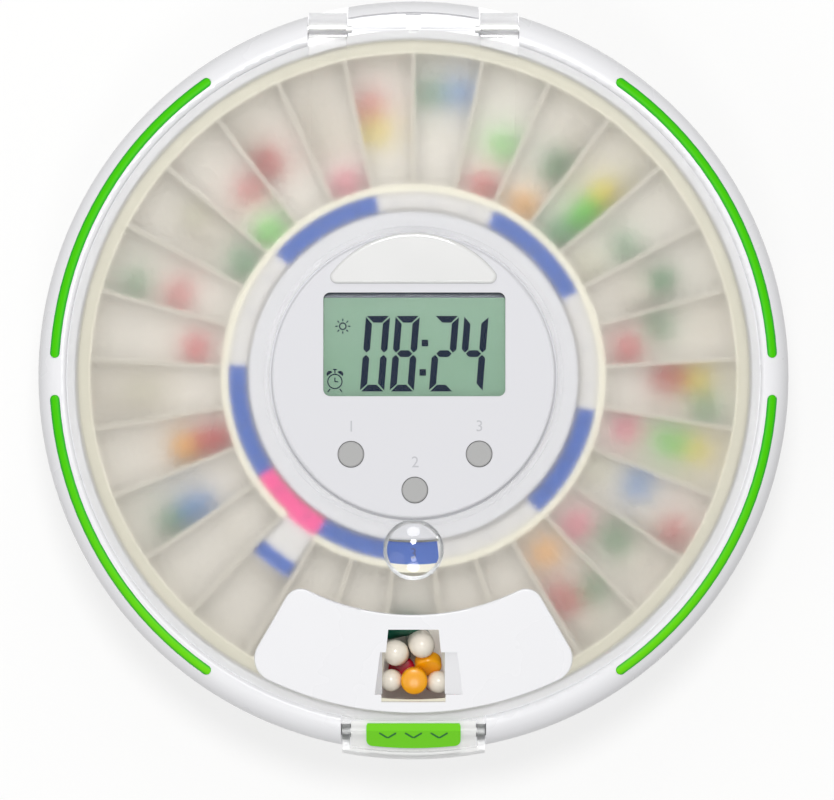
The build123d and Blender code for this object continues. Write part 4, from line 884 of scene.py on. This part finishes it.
class PILL_OT_doses(bpy.types.Operator):
    """Fills the carousel's compartments with tablets and capsules"""

    bl_idname = "pill.doses"
    bl_label = "Doses"

    # kind, colour of the cap or tablet, colour of the capsule's body, distance from the axis in mm and angle
    # in degrees; each lies on its compartment's floor
    LOAD = (
        ("capsule", "pill_white", "pill_green", 79.4, 56.0),
        ("capsule", "pill_yellow", "pill_lime", 73.6, 44.2),
        ("tablet", "pill_green", None, 61.0, 45.3), ("tablet", "pill_green", None, 72.3, 31.8),
        ("tablet", "pill_cream", None, 62.0, 33.0), ("capsule", "pill_green", "pill_white", 74.0, 21.2),
        ("tablet", "pill_green", None, 74.6, 12.0), ("tablet", "pill_red", None, 64.0, 5.5),
        ("capsule", "pill_yellow", "pill_red", 79.6, 0.6), ("tablet", "pill_green", None, 87.0, -6.2),
        ("tablet", "pill_pink", None, 64.8, -11.4), ("capsule", "pill_yellow", "pill_lime", 82.4, -14.6),
        ("tablet", "pill_blue", None, 74.0, -25.6), ("capsule", "pill_red", "pill_white", 84.6, -31.9),
        ("capsule", "pill_white", "pill_green", 80.6, -39.2), ("tablet", "pill_pink", None, 66.6, -42.0),
        ("tablet", "pill_orange", None, 67.0, -53.0), ("capsule", "pill_white", "pill_red", 83.4, -55.6),
        ("tablet", "pill_green", None, 82.4, -49.6), ("tablet", "pill_red", None, 81.9, 100.6),
        ("tablet", "pill_yellow", None, 73.4, 98.2), ("tablet", "pill_blue", None, 85.4, 80.4),
        ("tablet", "pill_green", None, 84.4, 88.4), ("capsule", "pill_white", "pill_red", 80.6, 124.5),
        ("tablet", "pill_red", None, 73.6, 130.4), ("tablet", "pill_pink", None, 61.2, 109.0),
        ("tablet", "pill_lime", None, 61.0, 134.4), ("capsule", "pill_cream", "pill_white", 75.6, 141.6),
        ("tablet", "pill_green", None, 61.0, 146.2), ("tablet", "pill_green", None, 86.8, 161.4),
        ("tablet", "pill_red", None, 73.6, 163.6), ("tablet", "pill_red", None, 65.0, 173.4),
        ("capsule", "pill_orange", "pill_red", 64.6, 196.8),
        ("capsule", "pill_green", "pill_blue", 78.8, 210.4),
        ("tablet", "pill_lime", None, 74.0, 68.4), ("tablet", "pill_red", None, 60.6, 70.0),
        ("tablet", "pill_orange", None, 61.0, 57.6), ("capsule", "pill_white", "pill_cream", 84.0, 183.0),
        ("tablet", "pill_white", None, 88.0, 13.4), ("tablet", "pill_cream", None, 87.0, 44.0),
        ("capsule", "pill_white", "pill_white", 80.0, 110.0), ("tablet", "pill_cream", None, 62.0, -25.0),
    )

    # inner and outer wall of a compartment, the step between its two floors and the room left there
    INNER_WALL, OUTER_WALL = 0.0566, 0.0951
    STEP, STEP_ROOM = 0.0693, 0.0003
    # room left to the dividers and to the floor
    SIDE_ROOM, FLOOR_ROOM = 0.0007, 0.0001

    # the dose in the dispensing window: model, place with its height above the floor, and tilt
    WINDOW = (
        ("upright", (0.0019, -0.0781, 0.0122), (0.10, 0.08, 0)),
        ("upright", (-0.0049, -0.0818, 0.0116), (-0.10, -0.06, 0)),
        ("lying", (-0.0040, -0.0735, 0.0120), (0, 0.95, 0.3)),
        ("small", (-0.0063, -0.0897, 0.0102), (-0.05, -0.05, 0)),
        ("small", (0.0067, -0.0902, 0.0102), (-0.05, 0.10, 0)),
        ("orange", (0.0002, -0.0893, 0.0186), (0.12, 0.0, 0)),
        ("orange", (0.0043, -0.0846, 0.0146), (0.86, 0.12, 0)),
        ("deep", (-0.0035, -0.0866, 0.0085), (0, 0, 0)),
    )

    def execute(self, context):
        shape = settings().doses
        dice = random.Random(shape.seed)
        coats = {
            name: moulded(name, color, 0.28, drift=0.05, depth=0.02, coat=0.3)
            for name, color in PILL_COLORS.items()
        }
        models, pieces = {}, []
        for kind, outer, inner, mm, degrees in self.LOAD:
            key = (kind, outer, inner)
            if key not in models:
                models[key] = (
                    capsule(shape.capsule_length, shape.capsule_radius, coats[inner], coats[outer])
                    if kind == "capsule" else tablet(shape.tablet_radius, shape.tablet_height, coats[outer])
                )
            pieces.append(self.lay(models[key], kind, mm * MM, degrees, dice.uniform(0, 3)))
        home = self.window_dose(coats)
        drop(*models.values())
        load = join(pieces, "doses")
        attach(load, "tray")
        shown = join(home, "window_doses")
        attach(shown, "tray")
        return {"FINISHED"}

    def lay(self, model, kind, r, degrees, roll):
        """Lays a dose in its compartment, clear of the walls and of the step between its two floors."""
        shape = settings().doses
        if kind == "capsule":
            reach = shape.capsule_length / 2
            half = rise = shape.capsule_radius
        else:
            reach = half = shape.tablet_radius
            rise = shape.tablet_height * TABLET_SWELL / 2
        r = min(max(r, self.INNER_WALL + reach), self.OUTER_WALL - reach)
        # a capsule may bridge the step, and then lies at the height of the upper floor
        upper = r < self.STEP if kind == "tablet" else r - reach < self.STEP
        if kind == "tablet":
            r = min(r, self.STEP - reach) if upper else max(r, self.STEP + reach + self.STEP_ROOM)
        middle = sector_angle(round((FRONT - degrees) / SECTOR))
        room = (r - reach) * math.sin(math.radians(SECTOR / 2)) - self.SIDE_ROOM - half
        side = max(-room, min(room, r * math.sin(math.radians(degrees) - middle)))
        level = top_of("tray_steps" if upper else "tray_floor") + self.FLOOR_ROOM + rise
        turn = place = Matrix.Rotation(middle, 4, "Z")
        if kind == "capsule":
            turn = place @ Matrix.Rotation(math.pi / 2, 4, "Y")
        turn = turn @ Matrix.Rotation(roll, 4, "Z")
        return copy_to(model, place @ Vector((r, side, level)), turn.to_euler())

    def window_dose(self, coats):
        """The dose under the dispensing window: capsules on end and tablets leaning on them."""
        models = {
            "upright": capsule(0.0222, 0.0037, coats["pill_dark_green"], coats["pill_white"]),
            "lying": capsule(0.0150, 0.0034, coats["pill_dark_green"], coats["pill_dark_green"]),
            "small": capsule(0.0196, 0.0032, coats["pill_red"], coats["pill_white"]),
            "orange": tablet(0.0040, 0.0038, coats["pill_orange"]),
            "deep": tablet(0.0040, 0.0038, coats["pill_red"]),
        }
        floor = top_of("tray_floor")
        pieces = [copy_to(models[name], (x, y, floor + z), tilt) for name, (x, y, z), tilt in self.WINDOW]
        drop(*models.values())
        return pieces


# ---------------------------------------------------------------- latch mark
class PILL_OT_latch_mark(bpy.types.Operator):
    """Adds three raised chevrons to the green pad, pointing at the edge to press"""

    bl_idname = "pill.latch_mark"
    bl_label = "Latch mark"

    # one arm of a chevron: length, width and thickness
    ARM = (0.0032, 0.00055, 0.00012)
    CHEVRONS_X, CHEVRONS_Y = (-0.0075, 0.0, 0.0075), -0.1049
    # from a chevron's middle to the middle of each arm, and how far the arm leans, in radians
    ARM_X, ARM_LEAN = 0.00125, 0.62
    # the pad's sloping face: its run and rise, and a line on it
    SLOPE = math.atan2(3.5, 6.2)
    FACE_Y, FACE_Z = -0.1033, 0.05292

    def execute(self, context):
        line = segment(*self.ARM)
        pieces = []
        for x in self.CHEVRONS_X:
            for side in (-1, 1):
                place = (x + side * self.ARM_X, self.CHEVRONS_Y, 0)
                pieces.append(copy_to(line, place, (0, 0, side * self.ARM_LEAN)))
        drop(line)
        mark = join(pieces, "latch_chevrons")
        # lay the chevrons on the sloping face of the pad
        select_only(mark)
        edit_all()
        bpy.ops.transform.rotate(
            value=-self.SLOPE, orient_axis="X", center_override=(0, self.FACE_Y, 0), orient_type="GLOBAL"
        )
        bpy.ops.transform.translate(value=(0, 0, self.FACE_Z))
        leave_edit()
        paint(mark, moulded("pad_print", (0.01, 0.16, 0.02), 0.4, drift=0.05))
        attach(mark, "latch")
        return {"FINISHED"}


# ---------------------------------------------------------------- finishes
class PILL_OT_finishes(bpy.types.Operator):
    """Gives every CAD piece its finish"""

    bl_idname = "pill.finishes"
    bl_label = "Finishes"

    def execute(self, context):
        materials = finish_materials()
        missing = set(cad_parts) - {node for nodes in FINISHES.values() for node in nodes}
        if missing:
            raise RuntimeError(f"no finish for {sorted(missing)}")
        for finish, nodes in FINISHES.items():
            for node in nodes:
                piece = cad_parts[node]
                if not piece.material_slots:
                    piece.data.materials.append(materials[finish])
                for place in piece.material_slots:
                    place.material = materials[finish]
        return {"FINISHED"}


# ---------------------------------------------------------------- studio
class PILL_OT_studio(bpy.types.Operator):
    """Adds the pale floor, the soft lights and the camera above the dispenser"""

    bl_idname = "pill.studio"
    bl_label = "Studio"

    # the rim's height, which the camera's frame is measured at, and the camera's place and sensor
    RIM = 0.052
    CAMERA_X, CAMERA_Y = 0.00103, -0.0069
    SENSOR = 36.0
    CLIP_START, CLIP_END = 0.01, 20
    FLOOR_SIDE = 6
    FLOOR_GLOW = 0.68
    # the world's light, and what gloss and glass see of it on top
    WORLD_LIGHT, WORLD_MIRRORED = 0.40, 0.45
    AIM = Vector((0, 0, 0.03))
    # name, place, size, and share of the key light's power
    LAMPS = (
        ("key_light", (0.0, 0.33, 1.36), 0.3, 0.80),
        ("back_light", (0.0, 1.15, 0.95), 0.9, 0.20),
        ("fill_light", (-0.75, -0.55, 1.0), 0.8, 0.16),
        ("front_light", (0.0, -0.52, 1.25), 0.3, 0.16),
    )

    def execute(self, context):
        studio = settings().studio
        self.floor()
        self.world(context.scene)
        for name, place, size, share in self.LAMPS:
            self.lamp(name, place, size, studio.key_power * share)
        self.camera(context.scene, studio)
        context.scene.view_settings.view_transform = "Standard"
        return {"FINISHED"}

    def mirrored(self, tree, path):
        """1 for a ray that gloss or glass sends on."""
        return math_node(tree, "MAXIMUM", path["Is Glossy Ray"], path["Is Transmission Ray"])

    def floor(self):
        """A pale floor that glows only towards the camera, gloss and glass."""
        bpy.ops.mesh.primitive_plane_add(size=self.FLOOR_SIDE, location=(0, 0, 0))
        floor = bpy.context.active_object
        floor.name = "floor"
        material, tree, shader = bare_material("floor_white")
        fill(tree, shader, Base_Color=(0.34, 0.34, 0.335, 1), Roughness=0.9, Specular_IOR_Level=0.0)
        path = tree.nodes.new("ShaderNodeLightPath").outputs
        seen = math_node(tree, "MAXIMUM", path["Is Camera Ray"], self.mirrored(tree, path))
        dark = add_node(tree, "Emission", Strength=0.0)
        glow = add_node(tree, "Emission", Strength=self.FLOOR_GLOW)
        glow_seen = mix_shaders(tree, seen, dark.outputs["Emission"], glow.outputs["Emission"])
        both = tree.nodes.new("ShaderNodeAddShader")
        tree.links.new(shader.outputs["BSDF"], both.inputs[0])
        tree.links.new(glow_seen, both.inputs[1])
        show_surface(tree, both.outputs["Shader"])
        paint(floor, material)

    def world(self, scene):
        scene.world = bpy.data.worlds.new("studio_world")
        scene.world.use_nodes = True
        tree = scene.world.node_tree
        mirrored = self.mirrored(tree, tree.nodes.new("ShaderNodeLightPath").outputs)
        level = math_node(tree, "MULTIPLY_ADD", mirrored, self.WORLD_MIRRORED, self.WORLD_LIGHT)
        fill(tree, tree.nodes["Background"], Color=(1, 1, 1, 1), Strength=level)

    def lamp(self, name, place, size, power):
        bpy.ops.object.light_add(type="AREA", location=place)
        lamp = bpy.context.active_object
        lamp.name = name
        lamp.data.shape = "DISK"
        lamp.data.size = size
        lamp.data.energy = power
        lamp.rotation_euler = (self.AIM - Vector(place)).to_track_quat("-Z", "Y").to_euler()

    def camera(self, scene, studio):
        """The camera, straight above the dispenser."""
        place = (self.CAMERA_X, self.CAMERA_Y, self.RIM + studio.camera_height)
        bpy.ops.object.camera_add(location=place, rotation=(0, 0, 0))
        camera = bpy.context.active_object
        camera.name = "photo_camera"
        camera.data.sensor_width = self.SENSOR
        camera.data.lens = self.SENSOR * studio.camera_height / studio.frame_width
        camera.data.clip_start = self.CLIP_START
        camera.data.clip_end = self.CLIP_END
        scene.camera = camera


class PILL_PT_panel(bpy.types.Panel):
    """Steps that dress the dispenser"""

    bl_label = "Pill Dispenser"
    bl_idname = "PILL_PT_panel"
    bl_space_type = "VIEW_3D"
    bl_region_type = "UI"
    bl_category = "Dispenser"

    def draw(self, context):
        column = self.layout.column()
        for operator in STEPS:
            column.operator(operator.bl_idname)
        chosen = context.scene.pill_dispenser
        for group in (chosen.display, chosen.doses, chosen.finish, chosen.studio):
            box = self.layout.box()
            for name in group.bl_rna.properties.keys():
                if name not in ("rna_type", "name"):
                    box.prop(group, name)


STEPS = (
    PILL_OT_finishes, PILL_OT_display, PILL_OT_numbers, PILL_OT_doses, PILL_OT_latch_mark, PILL_OT_studio
)
CLASSES = (
    DisplaySettings, DoseSettings, FinishSettings, StudioSettings, DispenserSettings, *STEPS, PILL_PT_panel
)


def register():
    for item in CLASSES:
        bpy.utils.register_class(item)
    bpy.types.Scene.pill_dispenser = PointerProperty(type=DispenserSettings)


def unregister():
    del bpy.types.Scene.pill_dispenser
    for item in reversed(CLASSES):
        bpy.utils.unregister_class(item)


def main():
    register()
    bpy.ops.object.select_all(action="DESELECT")
    bpy.ops.pill.finishes()
    bpy.ops.pill.display()
    bpy.ops.pill.numbers()
    bpy.ops.pill.doses()
    bpy.ops.pill.latch_mark()
    bpy.ops.pill.studio()


if __name__ == "__main__":
    main()
